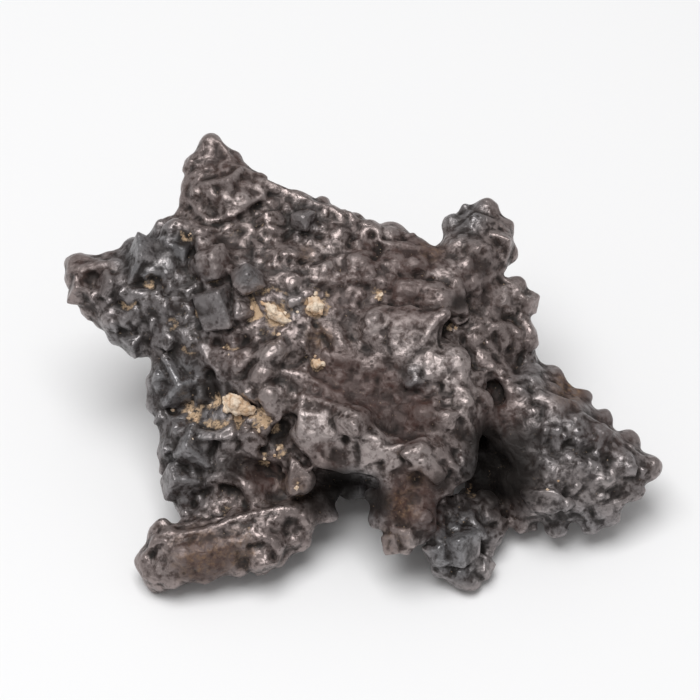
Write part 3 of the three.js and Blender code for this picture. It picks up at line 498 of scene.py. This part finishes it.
def add_crests(piece):
    """Adds the long edges: each is a bar with a blunt crest, low at both ends."""
    corners, sides = [], []
    for width, *path in CRESTS:
        found, normals, _ = seats_on(piece, path)
        if len(found) < 2:
            continue
        along = np.gradient(found, axis=0)
        up = normals + np.array([0, 0, 1.5])
        up /= np.linalg.norm(up, axis=1)[:, None]
        across = np.cross(along, up)
        across /= np.linalg.norm(across, axis=1)[:, None]
        first = len(corners)
        # Each seat has a section of four corners, as shares of the width: two at the foot, sunk
        # in the stone, and two at the crest, which is low at the bar's ends.
        for k, (place, rise, side) in enumerate(zip(found, up, across)):
            tall = width * (0.15 if k in (0, len(found) - 1) else 0.42)
            for reach, height in ((-0.6, -0.8), (-0.12, tall), (0.12, tall), (0.6, -0.8)):
                lift = rise * (height if height > 0 else height * width)
                corners.append(place + side * reach * width + lift)
        for k in range(len(found) - 1):
            for j in range(4):
                a, b = first + 4 * k + j, first + 4 * k + (j + 1) % 4
                sides.append((a, b, b + 4, a + 4))
        sides.append((first, first + 3, first + 2, first + 1))
        last = len(corners) - 4
        sides.append((last, last + 1, last + 2, last + 3))
    join_in(piece, corners, sides, 0.15)


def away_from(grown, path):
    """Distance of each place from a path on the broad face, seen along the growth axis."""
    nearest = np.full(len(grown), 1e3)
    for start, end in zip(np.array(path[:-1]), np.array(path[1:])):
        run = end - start
        share_of = np.clip(((grown[:, :2] - start) @ run) / (run @ run), 0, 1)
        reach = grown[:, :2] - start - share_of[:, None] * run
        nearest = np.minimum(nearest, np.hypot(reach[:, 0], reach[:, 1]))
    return nearest


def open_seams(piece):
    """Sinks the surface along the seams and in the pits of the broad face."""
    grown, normals = places(piece), outward(piece)
    facing = ease(normals[:, 2] * 2)
    sunk = np.zeros(len(grown))
    for width, depth, *path in SEAMS:
        sunk = np.maximum(sunk, depth * np.exp(-((away_from(grown, path) / width) ** 2)))
    for x, y, radius, depth in PITS:
        away = np.hypot(grown[:, 0] - x, grown[:, 1] - y)
        sunk = np.maximum(sunk, depth * ease(1.3 - away / radius))
    put(piece, grown - normals * (0.6 * sunk * facing)[:, None])


def inside(grown, outline):
    """Which places lie inside an outline on the broad face."""
    x, y = grown[:, 0], grown[:, 1]
    within = np.zeros(len(grown), bool)
    for (x0, y0), (x1, y1) in zip(outline, outline[1:] + outline[:1]):
        crosses = (y0 > y) != (y1 > y)
        rise = np.where(y1 == y0, 1e-9, y1 - y0)
        within ^= crosses & (x < (x1 - x0) * (y - y0) / rise + x0)
    return within


# Parts of the broad face that stayed bare between the crystals, as [x, y, radius].
BARE = [
    [3, -4, 4.2], [7.4, -8, 4], [11.6, -11, 2], [-1, -3, 2], [15.4, 2.4, 2.4], [-17.4, -8.2, 2.4],
    [-20, -30, 2.6], [-4.6, -2, 1.6], [-11, 5.8, 2.4], [-5, 6.4, 1.8], [9.4, 14, 2.6],
    [11, -20.6, 2.4], [14, -30, 2], [0.6, -15, 3],
]


def smoothness(grown, normals):
    """From 0 where crystals crowd to 1 on the flat and bare parts of the broad face."""
    flat = np.zeros(len(grown))
    for _, *outline in FACES:
        flat = np.maximum(flat, 0.7 * inside(grown, outline))
    for x, y, radius in BARE + [[spot[0], spot[1], 0.5 * spot[2]] for spot in LARGE]:
        away = np.hypot(grown[:, 0] - x, grown[:, 1] - y)
        flat = np.maximum(flat, ease(2.4 - 1.7 * away / radius))
    return flat * ease(normals[:, 2] * 2)


def search_tree(points):
    """A tree that finds the points nearest to a place."""
    tree = KDTree(len(points))
    for k, point in enumerate(points):
        tree.insert(point, k)
    tree.balance()
    return tree


def spread_out(grown, gap):
    """Random places on the surface, none nearer to another than the gap."""
    wanted = min(len(grown), int(4 * SURFACE_AREA / gap**2))
    picked = grown[dice.choice(len(grown), wanted, replace=False)]
    tree = search_tree(picked)
    gone = np.zeros(len(picked), bool)
    for k, place in enumerate(picked):
        if not gone[k]:
            for _, other, _ in tree.find_range(place, gap):
                gone[other] = gone[other] or other > k
    return picked[~gone]


def crowd(grown, size, low, high):
    """How high crystals of about one size, crowded on a surface, stand at each place. Each is a
    cube turned its own way, with its middle between the low and the high."""
    middles = spread_out(grown, 0.7 * size)
    tree = search_tree(middles)
    near = np.array([[found[1] for found in tree.find_n(place, 4)] for place in grown])
    turns = np.linalg.qr(dice.normal(size=(len(middles), 3, 3)))[0]
    leans = 0.16 * dice.normal(size=(len(middles), 3))
    widths = size * (0.8 + 0.5 * dice.random(len(middles)))
    middle = low + (high - low) * dice.random(len(middles))
    reach = grown[:, None] - middles[near]
    away = np.abs(np.einsum("nkj,nkjm->nkm", reach, turns[near])).max(axis=2) / widths[near]
    # Each stands highest over its middle and falls off steeply past its own sides.
    stands = middle[near] + 0.26 * widths[near] * (1 - (2 * away) ** 1.5)
    stands += (leans[near] * reach).sum(axis=2)
    return stands.max(axis=1)


def swell(piece, crowds, rounds):
    """Raises crowded crystals over the whole piece, each crowd as a size, a low and a high."""
    grown = places(piece)
    ends = edges_of(piece)
    normals = outward(piece)
    steady = relaxed(normals, ends, rounds)
    flat = np.linalg.norm(steady, axis=1)
    steady /= flat[:, None]
    share_of = 1 - 0.85 * relaxed(smoothness(grown, normals)[:, None], ends, 4)[:, 0]
    share_of *= np.clip((flat - 0.7) / 0.2, 0.5, 1)  # lower on sharp rims
    rise = np.max([crowd(grown, *settings) for settings in crowds], axis=0)
    rise = 0.75 * np.maximum(rise - np.median(rise), -0.1) * share_of
    put(piece, grown + steady * rise[:, None])


def relaxed(points, edges, rounds):
    """The points after some rounds of moving each one halfway to the middle of its neighbours."""
    ends = np.concatenate([edges, edges[:, ::-1]])
    count = np.bincount(ends[:, 0], minlength=len(points))[:, None]
    for _ in range(rounds):
        total = [np.bincount(ends[:, 0], column[ends[:, 1]], len(points)) for column in points.T]
        points = 0.5 * points + 0.5 * np.stack(total, axis=1) / count
    return points


def edges_of(piece):
    """The two vertices of each edge."""
    ends = np.empty(len(piece.data.edges) * 2, np.int32)
    piece.data.edges.foreach_get("vertices", ends)
    return ends.reshape(-1, 2)


def sharpen(piece, rounds, amount):
    """Pushes crests out and creases in, by a share of what relaxing would move them."""
    grown = places(piece)
    put(piece, grown + amount * (grown - relaxed(grown, edges_of(piece), rounds)))


ROOM = 0.2  # millimetres that the worn body stays under its full size, for crystals to stand on


def wear_down(piece, rounds):
    """Rounds the tips and edges of the whole piece, its rims most, and keeps its bulk."""
    grown = places(piece)
    worn = relaxed(grown, edges_of(piece), rounds)
    steady = relaxed(outward(piece), edges_of(piece), rounds)
    # Where the normals around a place disagree their mean is short, which marks the rims.
    flat = np.linalg.norm(steady, axis=1)[:, None]
    steady /= flat
    rims = relaxed(np.clip((0.94 - flat) / 0.12, 0, 1), edges_of(piece), 10)
    worn += rims * (relaxed(worn, edges_of(piece), 3 * rounds) - worn)
    lost = relaxed(((grown - worn) * steady).sum(axis=1)[:, None], edges_of(piece), 3 * rounds)
    put(piece, worn + steady * (lost - ROOM))


def wear_thin(piece, least):
    """Wears back the fins and spikes with less than the least thickness of stone in them."""
    tree = BVHTree.FromObject(piece, bpy.context.evaluated_depsgraph_get())
    thin = []
    for vertex in piece.data.vertices:
        start = vertex.co - vertex.normal * 0.05 * MM  # just under the surface
        far_side, _, _, _ = tree.ray_cast(start, -vertex.normal, least * MM)
        thin.append(far_side is not None)
    thin = np.clip(4 * relaxed(np.array(thin, float)[:, None], edges_of(piece), 6), 0, 1)
    grown = places(piece)
    put(piece, grown + thin * (relaxed(grown, edges_of(piece), 40) - grown))


def settle(piece):
    """Wears flat whatever would reach under the ground."""
    flat = np.empty(len(piece.data.vertices) * 3, np.float32)
    piece.data.vertices.foreach_get("co", flat)
    flat[2::3] = np.maximum(flat[2::3], 0)
    piece.data.vertices.foreach_set("co", flat)
    piece.data.update()


stone = merged_copy("stone", "stone_surface")
finish_with(stone, "REMESH", mode="VOXEL", voxel_size=BASE_VOXEL)
wear_down(stone, 16)
fill_in(stone)
add_faces(stone)
stand(stone, DOMES, "grain", sink=0.3)
add_crests(stone)
finish_with(stone, "REMESH", mode="VOXEL", voxel_size=COARSE_VOXEL)
finish_with(stone, "SMOOTH", factor=0.5, iterations=3)
swell(stone, CROWDS, 12)
open_seams(stone)
stand(stone, BLOCKS, "crystal", sink=0.34)
add_large(stone)
finish_with(stone, "REMESH", mode="VOXEL", voxel_size=FINE_VOXEL)
wear_thin(stone, THINNEST)
wear_thin(stone, THINNEST)
finish_with(stone, "SMOOTH", factor=0.5, iterations=2)
sharpen(stone, 6, 0.24)
finish_with(stone, "SMOOTH", factor=0.5, iterations=1)
settle(stone)
triangles = sum(len(face.vertices) - 2 for face in stone.data.polygons)
finish_with(stone, "DECIMATE", ratio=min(1, STONE_TRIANGLES / triangles))
finish_with(stone, "TRIANGULATE")
stone.data.shade_smooth()

# What wear, dirt and painted light follow: how deep each place lies under the surface
# around it, and the soft patches of colour on the broad face, each patch as [x, y, radius,
# amount]. Warm is the bare reddish oxide, cool the bluish black one, ochre the powdery
# limonite, pale the places rubbed brightest and lightened further as painted sheen, shaded
# the deep clefts and recesses, darkened as painted shade, and chalky the places where
# chalk dust clings.
WARM = [
    [-21, -30.4, 4.4, 0.8], [-2, -4, 5, 1], [4, -6, 5, 1], [9, -9.5, 5, 1], [9, -22, 5, 1],
    [8, 7.5, 6, 0.8], [0, 9, 5, 0.6], [9.5, 14, 5, 0.9], [3, 14, 4, 0.6], [-16, 28, 6, 0.6],
    [-39, 13, 4, 0.5], [33, -6, 4, 0.7], [39, -11.5, 4, 0.6], [-12.5, -18.6, 3, 1],
    [-20, 13.4, 4, 0.5], [19, 10, 4, 0.5], [22, -9, 4, 0.6], [-18, 0, 4, 0.5], [-3, -15.5, 3, 0.6],
    [11.6, -25, 2.4, 1],
]
COOL = [
    [-28, 6, 11, 0.7], [-25, -10, 10, 0.8], [33, -15, 9, 0.7], [-30, 14, 6, 1], [-25.4, 15, 3, 1],
    [-26, -5, 6, 1], [-24, -15, 6, 0.9], [-25, -20, 5, 0.8], [-34, 1, 5, 0.8], [16, -29, 7, 1],
    [34, -22, 9, 0.8], [40, -19, 6, 0.6], [1, -21.5, 5, 1], [17, 20.6, 4, 0.8], [-20, 6, 4, 0.7],
    [-15, 11, 2.4, 0.8], [-7, 19.4, 3, 0.6], [9.4, -4, 2.4, 0.8], [28, -4, 4, 0.6],
    [-8.4, 7, 2, 0.7], [22, -17, 6, 0.8],
]
OCHRE = [
    [-22, -30.2, 4.4, 0.7], [7.6, -22.6, 2.6, 0.9], [33, -5.6, 2.6, 0.9], [12.4, 15, 2, 0.6],
    [-4.4, 2, 2, 0.8], [9.6, -18.8, 2, 0.6], [-16.4, -29.4, 3, 0.7], [-8.4, -20, 2.4, 0.5],
    [-6.6, 14.2, 1.4, 0.5], [7, -27.6, 2.4, 0.4],
]
PALE = [
    [9, 2, 4.5, 0.8], [14, -2.5, 4, 0.9], [5, 4.5, 3, 0.7], [-5.5, -11, 3.5, 1],
    [-1, -12.5, 3.5, 1], [3.2, -14.5, 3.5, 1], [6.4, -16, 2.5, 0.8], [10, -16.5, 2.6, 0.7],
    [-27, -31, 3, 0.3], [28, -21.5, 3.5, 0.5], [33, -20, 4, 0.5], [38, -21, 4, 0.5],
    [-16, 24.5, 3.6, 0.5], [6.5, 18.4, 2.6, 0.5], [-8.6, 7.8, 2, 0.5], [-12, -1, 2.6, 0.6],
    [-11.4, -7.4, 2.4, 0.5], [-20.6, 13.6, 2.6, 0.6], [8.6, -27.6, 3, 0.7], [12, -11, 2.6, 0.4],
    [17.4, -8, 3, 0.5], [10, 12.6, 3.4, 0.5], [-2, 13, 3.4, 0.4], [23.6, 8, 2.6, 0.4],
    [30.6, -6, 3, 0.5], [-19, -13, 3, 0.4], [-29, 14, 2.6, 0.3], [20, -31, 3, 0.4],
]
# Painted shade: the deep clefts and recesses that are darkened in colour.
SHADED = [
    [22.6, -18.4, 6, 1], [20.2, -13.6, 3.4, 0.9], [24.6, -14, 2.6, 0.8], [-2, -20.6, 3.6, 1],
    [-10.6, -12.8, 1.8, 0.9], [16.2, 7, 1.4, 0.8], [-20.8, -6, 1.8, 0.8], [-17.4, -17.4, 2.2, 0.6],
    [-5, -22.4, 2.4, 0.8], [4, -22, 2.4, 0.9], [-24.6, 16.6, 1.6, 0.8], [13.4, -19.4, 1.6, 0.6],
    [9.6, -19, 1.2, 0.8], [-13.6, -18, 1.8, 0.6], [-22, 6, 1.2, 0.6], [27, -13, 2, 0.6],
    [19.6, 12.6, 1.6, 0.6],
]
CHALKY = [
    [-24.2, 17.4, 1.4, 0.6], [-30, 9.7, 1, 0.54], [-33, 7, 1.4, 0.48], [-22.5, 5.5, 1, 0.54],
    [-12, 5.8, 3.4, 1], [-5, 6.6, 2.4, 1], [4.2, 8.4, 1.2, 0.6], [-4.8, -1.8, 1.4, 0.6],
    [-17.6, -0.2, 1.4, 0.54], [-23.4, -9.4, 2, 0.6], [-16, -9.6, 1.6, 0.9],
    [-20.6, -10.2, 1.4, 0.8], [-13, -10.2, 1.7, 1], [-11.3, -11.4, 1.1, 0.54],
    [-10.6, -15, 1.2, 1], [-12.6, -16.2, 1, 1], [-7.4, -20, 1.7, 0.9], [-14.4, -26.8, 1, 0.6],
    [17.9, -21, 1.1, 1], [15, 3.4, 0.7, 0.6], [-20.6, 11.6, 2.3, 0.36], [-26.6, 3.8, 1.4, 0.48],
    [-24, 0, 1.3, 0.42], [-17.4, 18, 1.4, 0.36], [-12, 18.6, 1.4, 0.36], [-18.4, -9.2, 3, 0.8],
    [-22, 0, 1.1, 0.36], [12.6, 14.8, 0.9, 0.36], [-18.2, -24, 1.3, 0.3],
]


def lying_in(grown, spots):
    """How much each place lies in any of the soft round spots [x, y, radius, amount]."""
    total = np.zeros(len(grown))
    for x, y, radius, amount in spots:
        away = np.hypot(grown[:, 0] - x, grown[:, 1] - y)
        total = np.maximum(total, amount * ease(1.4 - away / radius))
    return total


def keep_value(piece, name, values):
    """Keeps a value of 0..1 at each vertex, for the materials to read."""
    mark = piece.data.attributes.new(name, "FLOAT", "POINT")
    mark.data.foreach_set("value", np.clip(values, 0, 1).astype(np.float32))


grown, normals = places(stone), outward(stone)
ends = edges_of(stone)
close_by = relaxed(grown, ends, 3)
around = relaxed(close_by, ends, 50)
dip = ((close_by - grown) * normals).sum(axis=1) / 0.06
depth = ((around - grown) * normals).sum(axis=1)
keep_value(stone, "crease", 0.5 + 0.5 * (0.7 * dip + 0.3 * depth))
patches = {
    "warm": WARM, "cool": COOL, "ochre": OCHRE, "pale": PALE, "shaded": SHADED, "chalky": CHALKY,
}
front = ease(normals[:, 2] + 0.6)
for name, spots in patches.items():
    keep_value(stone, name, lying_in(grown, spots) * front)

iron_oxide = bpy.data.materials.new("iron_oxide")
iron_oxide.use_nodes = True
tree = iron_oxide.node_tree
shader = tree.nodes["Principled BSDF"]


def node(kind, inputs=None, **settings):
    """A node of the tree in hand, with its inputs' values and its settings."""
    made = tree.nodes.new(kind)
    for name, value in (inputs or {}).items():
        made.inputs[name].default_value = value
    for name, value in settings.items():
        setattr(made, name, value)
    return made


def join(source, target):
    tree.links.new(source, target)


def texture(kind, vector, size, inputs=None, **settings):
    """A texture whose cells or patches are about size millimetres across."""
    made = node(kind, {"Scale": 1 / (size * MM), **(inputs or {})}, **settings)
    join(vector, made.inputs["Vector"])
    return made.outputs


def noise(size, detail=4, roughness=0.6):
    """Cloudy noise in Object coordinates."""
    cloud = {"Detail": detail, "Roughness": roughness}
    return texture("ShaderNodeTexNoise", where, size, cloud)["Fac"]


def mark(name):
    """A value that the surface keeps at each of its points."""
    return node("ShaderNodeAttribute", attribute_name=name).outputs["Fac"]


def ramp(value, low, high):
    """Turns low..high of a value into 0..1."""
    made = node("ShaderNodeMapRange", {"From Min": low, "From Max": high})
    join(value, made.inputs["Value"])
    return made.outputs["Result"]


def reckon(operation, first, second):
    """One sum of two values, each a number or another node's output."""
    made = node("ShaderNodeMath", operation=operation)
    for socket, value in zip(made.inputs, (first, second)):
        if isinstance(value, (int, float)):
            socket.default_value = value
        else:
            join(value, socket)
    return made.outputs["Value"]


def times(first, second):
    return reckon("MULTIPLY", first, second)


def plus(first, second):
    return reckon("ADD", first, second)


def larger(first, second):
    return reckon("MAXIMUM", first, second)


def blend(mask, under, over):
    """Lays one colour over another by a mask."""
    made = node("ShaderNodeMix", data_type="RGBA")
    join(mask, made.inputs["Factor"])
    for socket, value in ((made.inputs[6], under), (made.inputs[7], over)):
        if isinstance(value, tuple):
            socket.default_value = (*value, 1)
        else:
            join(value, socket)
    return made.outputs[2]


where = node("ShaderNodeTexCoord").outputs["Object"]
crease, pale, cool, warm = mark("crease"), mark("pale"), mark("cool"), mark("warm")
clouds, mottle, grit = noise(6), noise(1.1, 7, 0.65), noise(0.3, 4, 0.7)

# Tiny crystal facets, their borders bent by a slow noise so that no two are alike.
stray = texture("ShaderNodeTexNoise", where, 3)["Color"]
wander = node("ShaderNodeVectorMath", operation="MULTIPLY_ADD")
join(stray, wander.inputs[0])
wander.inputs[1].default_value = (1.6 * MM, 1.6 * MM, 1.6 * MM)
join(where, wander.inputs[2])
bent = wander.outputs["Vector"]
facets = texture("ShaderNodeTexVoronoi", bent, 1.7, distance="CHEBYCHEV")["Distance"]
# Painted shade: thin dark lines along the facet borders, in the creases.
border_shade = times(ramp(facets, 0.40, 0.58), 0.6)

# Masks: painted shade that darkens the creases, the deep clefts and the facet borders; the
# crests, rubbed bright and lit further by a painted highlight; patches of small round dimples,
# powdery rust, and the chalk dust with its loose specks.
painted_shade = larger(ramp(crease, 0.55, 0.96), mark("shaded"))
painted_shade = larger(painted_shade, times(border_shade, ramp(crease, 0.42, 0.56)))
# Painted highlight: the crests, partly rubbed smooth, are lightened in colour and skin.
rubbed_highlight = ramp(crease, 0.42, 0.20)
dimples = texture("ShaderNodeTexVoronoi", where, 1.1)["Distance"]
dimples = times(ramp(dimples, 0.34, 0.12), ramp(noise(2.6, 2), 0.46, 0.6))
rust = times(mark("ochre"), ramp(mottle, 0.38, 0.62))
dust = times(mark("chalky"), ramp(crease, 0.35, 0.75))
dust = times(ramp(times(dust, ramp(noise(0.6, 5, 0.75), 0.3, 0.7)), 0.12, 0.36), 0.9)
specks = times(ramp(noise(0.5, 3, 0.8), 0.66, 0.70), ramp(crease, 0.45, 0.7))
dust = larger(dust, times(specks, 0.6))

# The satin skin that handling leaves, starkly mottled and part metal in its shine. It is
# raised on the crests by the painted highlight and on the pale places, and thin wherever dirt
# lies and under the painted shade.
skin = plus(times(ramp(mottle, 0.42, 0.56), 0.64), 0.09)
skin = plus(plus(skin, times(rubbed_highlight, 0.6)), times(pale, 0.18))
for cover, share_of in (
    (warm, 0.75), (cool, 0.2), (painted_shade, 1), (dimples, 0.7), (rust, 0.9), (dust, 1),
):
    skin = times(skin, plus(times(cover, -share_of), 1))
join(times(skin, 0.76), shader.inputs["Metallic"])

bare = blend(ramp(clouds, 0.35, 0.65), (0.021, 0.011, 0.009), (0.040, 0.022, 0.017))
bare = blend(times(cool, 0.7), bare, (0.018, 0.015, 0.015))
bare = blend(warm, bare, (0.052, 0.024, 0.019))
satin = blend(cool, (0.306, 0.254, 0.242), (0.246, 0.240, 0.246))
# Pale places: a lighter satin, partly rubbed and partly painted sheen where the face shines most.
satin = blend(times(pale, ramp(mottle, 0.30, 0.52)), satin, (0.455, 0.395, 0.380))
ochre = blend(ramp(noise(0.8, 5, 0.7), 0.44, 0.62), (0.095, 0.050, 0.034), (0.265, 0.160, 0.086))
colour = blend(skin, bare, satin)
colour = blend(times(rust, 0.8), colour, ochre)
colour = blend(times(dimples, 0.6), colour, (0.016, 0.010, 0.008))
# Painted shade: the creases, clefts and facet borders turn near black.
colour = blend(times(painted_shade, 0.92), colour, (0.007, 0.005, 0.004))
colour = blend(dust, colour, (0.56, 0.40, 0.26))
join(colour, shader.inputs["Base Color"])

gloss = plus(times(ramp(mottle, 0.3, 0.7), 0.12), 0.24)
for cover, share_of in ((painted_shade, 0.4), (warm, 0.12), (pale, 0.17), (dust, 0.5)):
    gloss = plus(gloss, times(cover, share_of))
join(gloss, shader.inputs["Roughness"])
shader.inputs["IOR"].default_value = 1.38

relief = plus(times(grit, 0.3), times(mottle, plus(times(cool, -0.5), 0.7)))
relief = plus(relief, times(dimples, -0.35))
relief = plus(relief, times(facets, -2.4))
bump = node("ShaderNodeBump", {"Strength": 0.65, "Distance": 0.00022})
join(relief, bump.inputs["Height"])
join(bump.outputs["Normal"], shader.inputs["Normal"])
stone.data.materials.append(iron_oxide)
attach(stone, "root")
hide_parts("stone")

# ------------------------------------------------------------------ the chalk
# Bits of the pale chalky rock that the cluster grew in. Four chips are lodged in pits of the
# broad face, and crumbs of the same rock lie around them in the hollows.

CHALK_VOXEL = 0.13 * MM

# Where the crumbs lie, as [x, y, reach, count].
CRUMBS = [
    [-10.5, 4.6, 2.4, 12], [-5, 6.8, 1.6, 8], [4.2, 8.2, 0.8, 4], [-4.6, -2, 1, 3],
    [-23.4, -9.4, 2.4, 4], [-18, -9, 2, 4], [-12.8, -10.2, 1.2, 6], [-10.5, -15, 0.8, 4],
    [-12.4, -16.2, 0.7, 2], [-7.8, -20.2, 1, 2], [17.8, -21.2, 0.6, 3], [15, 3.2, 0.5, 3],
    [-24.2, 17.2, 0.9, 2], [-17.6, -0.2, 0.9, 2], [30, -20, 3, 2],
]

chalk = bpy.data.materials.new("chalk")
chalk.use_nodes = True
tree = chalk.node_tree
shader = tree.nodes["Principled BSDF"]
where = node("ShaderNodeTexCoord").outputs["Object"]
stains, powder = noise(1.6, 5, 0.65), noise(0.22, 4, 0.7)
pale_rock = blend(ramp(stains, 0.38, 0.60), (0.62, 0.41, 0.25), (0.80, 0.67, 0.53))
pale_rock = blend(times(ramp(noise(0.5, 5, 0.7), 0.54, 0.70), 0.7), pale_rock, (0.34, 0.20, 0.11))
pale_rock = blend(times(ramp(powder, 0.60, 0.72), 0.5), pale_rock, (0.20, 0.12, 0.07))
join(pale_rock, shader.inputs["Base Color"])
join(plus(times(powder, 0.2), 0.78), shader.inputs["Roughness"])
bump = node("ShaderNodeBump", {"Strength": 0.8, "Distance": 0.00015})
join(plus(powder, stains), bump.inputs["Height"])
join(bump.outputs["Normal"], shader.inputs["Normal"])


def worn_chip(node_name):
    """A chip with its corners crumbled and small pits in its faces."""
    chip = merged_copy(node_name, node_name + "_surface")
    finish_with(chip, "REMESH", mode="VOXEL", voxel_size=CHALK_VOXEL)
    finish_with(chip, "SMOOTH", factor=0.5, iterations=6)
    for size in (1.5, 0.7):
        seen = places(chip)
        steady = relaxed(outward(chip), edges_of(chip), 4)
        rise = crowd(seen, size, 0, 0.15 * size) - 0.28 * size
        put(chip, seen + steady * rise[:, None])
    finish_with(chip, "SMOOTH", factor=0.5, iterations=1)
    finish_with(chip, "TRIANGULATE")
    chip.data.shade_smooth()
    chip.data.materials.append(chalk)
    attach(chip, "root")
    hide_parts(node_name)


for name in list(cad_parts):
    if name.startswith("chalk_chip"):
        worn_chip(name)

spots = [
    np.array([x, y]) + reach * dice.normal(size=2) * 0.6
    for x, y, reach, count in CRUMBS for _ in range(count)
]
found, normals, _ = seats_on(stone, spots)
crumbs = bpy.data.objects.new("chalk_crumbs", bpy.data.meshes.new("chalk_crumbs"))
bpy.context.scene.collection.objects.link(crumbs)
widths = 0.25 + 0.6 * dice.random(len(found)) ** 2
grow(crumbs, found, normals, widths, "grain", sink=0.2, lean=0.6, rounding=0)
shape = places(crumbs)
put(crumbs, shape + 0.05 * dice.normal(size=shape.shape))
finish_with(crumbs, "TRIANGULATE")
crumbs.data.shade_flat()
crumbs.data.materials.append(chalk)
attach(crumbs, "root")

# ------------------------------------------------------------------ floor, light and camera
# A plain pale table top that runs out of view in a white room, with one large soft lamp
# overhead. The camera looks straight at the broad face, so it looks down on the table.

bpy.ops.mesh.primitive_plane_add(size=4, location=(0, 0, 0))
floor = bpy.context.object
floor.name = "floor"
paper = bpy.data.materials.new("white_table")
paper.use_nodes = True
paper.node_tree.nodes["Principled BSDF"].inputs["Base Color"].default_value = (0.86, 0.86, 0.865, 1)
paper.node_tree.nodes["Principled BSDF"].inputs["Roughness"].default_value = 0.7
floor.data.materials.append(paper)

scene = bpy.context.scene
scene.view_settings.view_transform = "Standard"
world = bpy.data.worlds.new("white_room")
world.use_nodes = True
world.node_tree.nodes["Background"].inputs["Color"].default_value = (1, 1, 1, 1)
world.node_tree.nodes["Background"].inputs["Strength"].default_value = 0.40
scene.world = world


def soft_box(name, place, size, watts):
    """A square area light that looks at the stone."""
    lamp = bpy.data.lights.new(name, "AREA")
    lamp.energy = watts
    lamp.size = size
    holder = bpy.data.objects.new(name, lamp)
    holder.location = place
    aim = Vector((0, 0, 20 * MM)) - Vector(place)
    holder.rotation_euler = aim.to_track_quat("-Z", "Y").to_euler()
    scene.collection.objects.link(holder)


soft_box("overhead_box", (-0.12, -0.06, 0.85), 0.6, 6.3)

CAMERA_REACH = 437.5 * MM
lens = bpy.data.cameras.new("camera")
lens.lens = 150
lens.sensor_width = 36
camera = bpy.data.objects.new("camera", lens)
scene.collection.objects.link(camera)
camera.matrix_world = (
    Matrix.Translation(GROWTH_ORIGIN * MM) @ Matrix.Rotation(LEAN, 4, "X")
    @ Matrix.Translation((0, 0, CAMERA_REACH))
)
scene.camera = camera
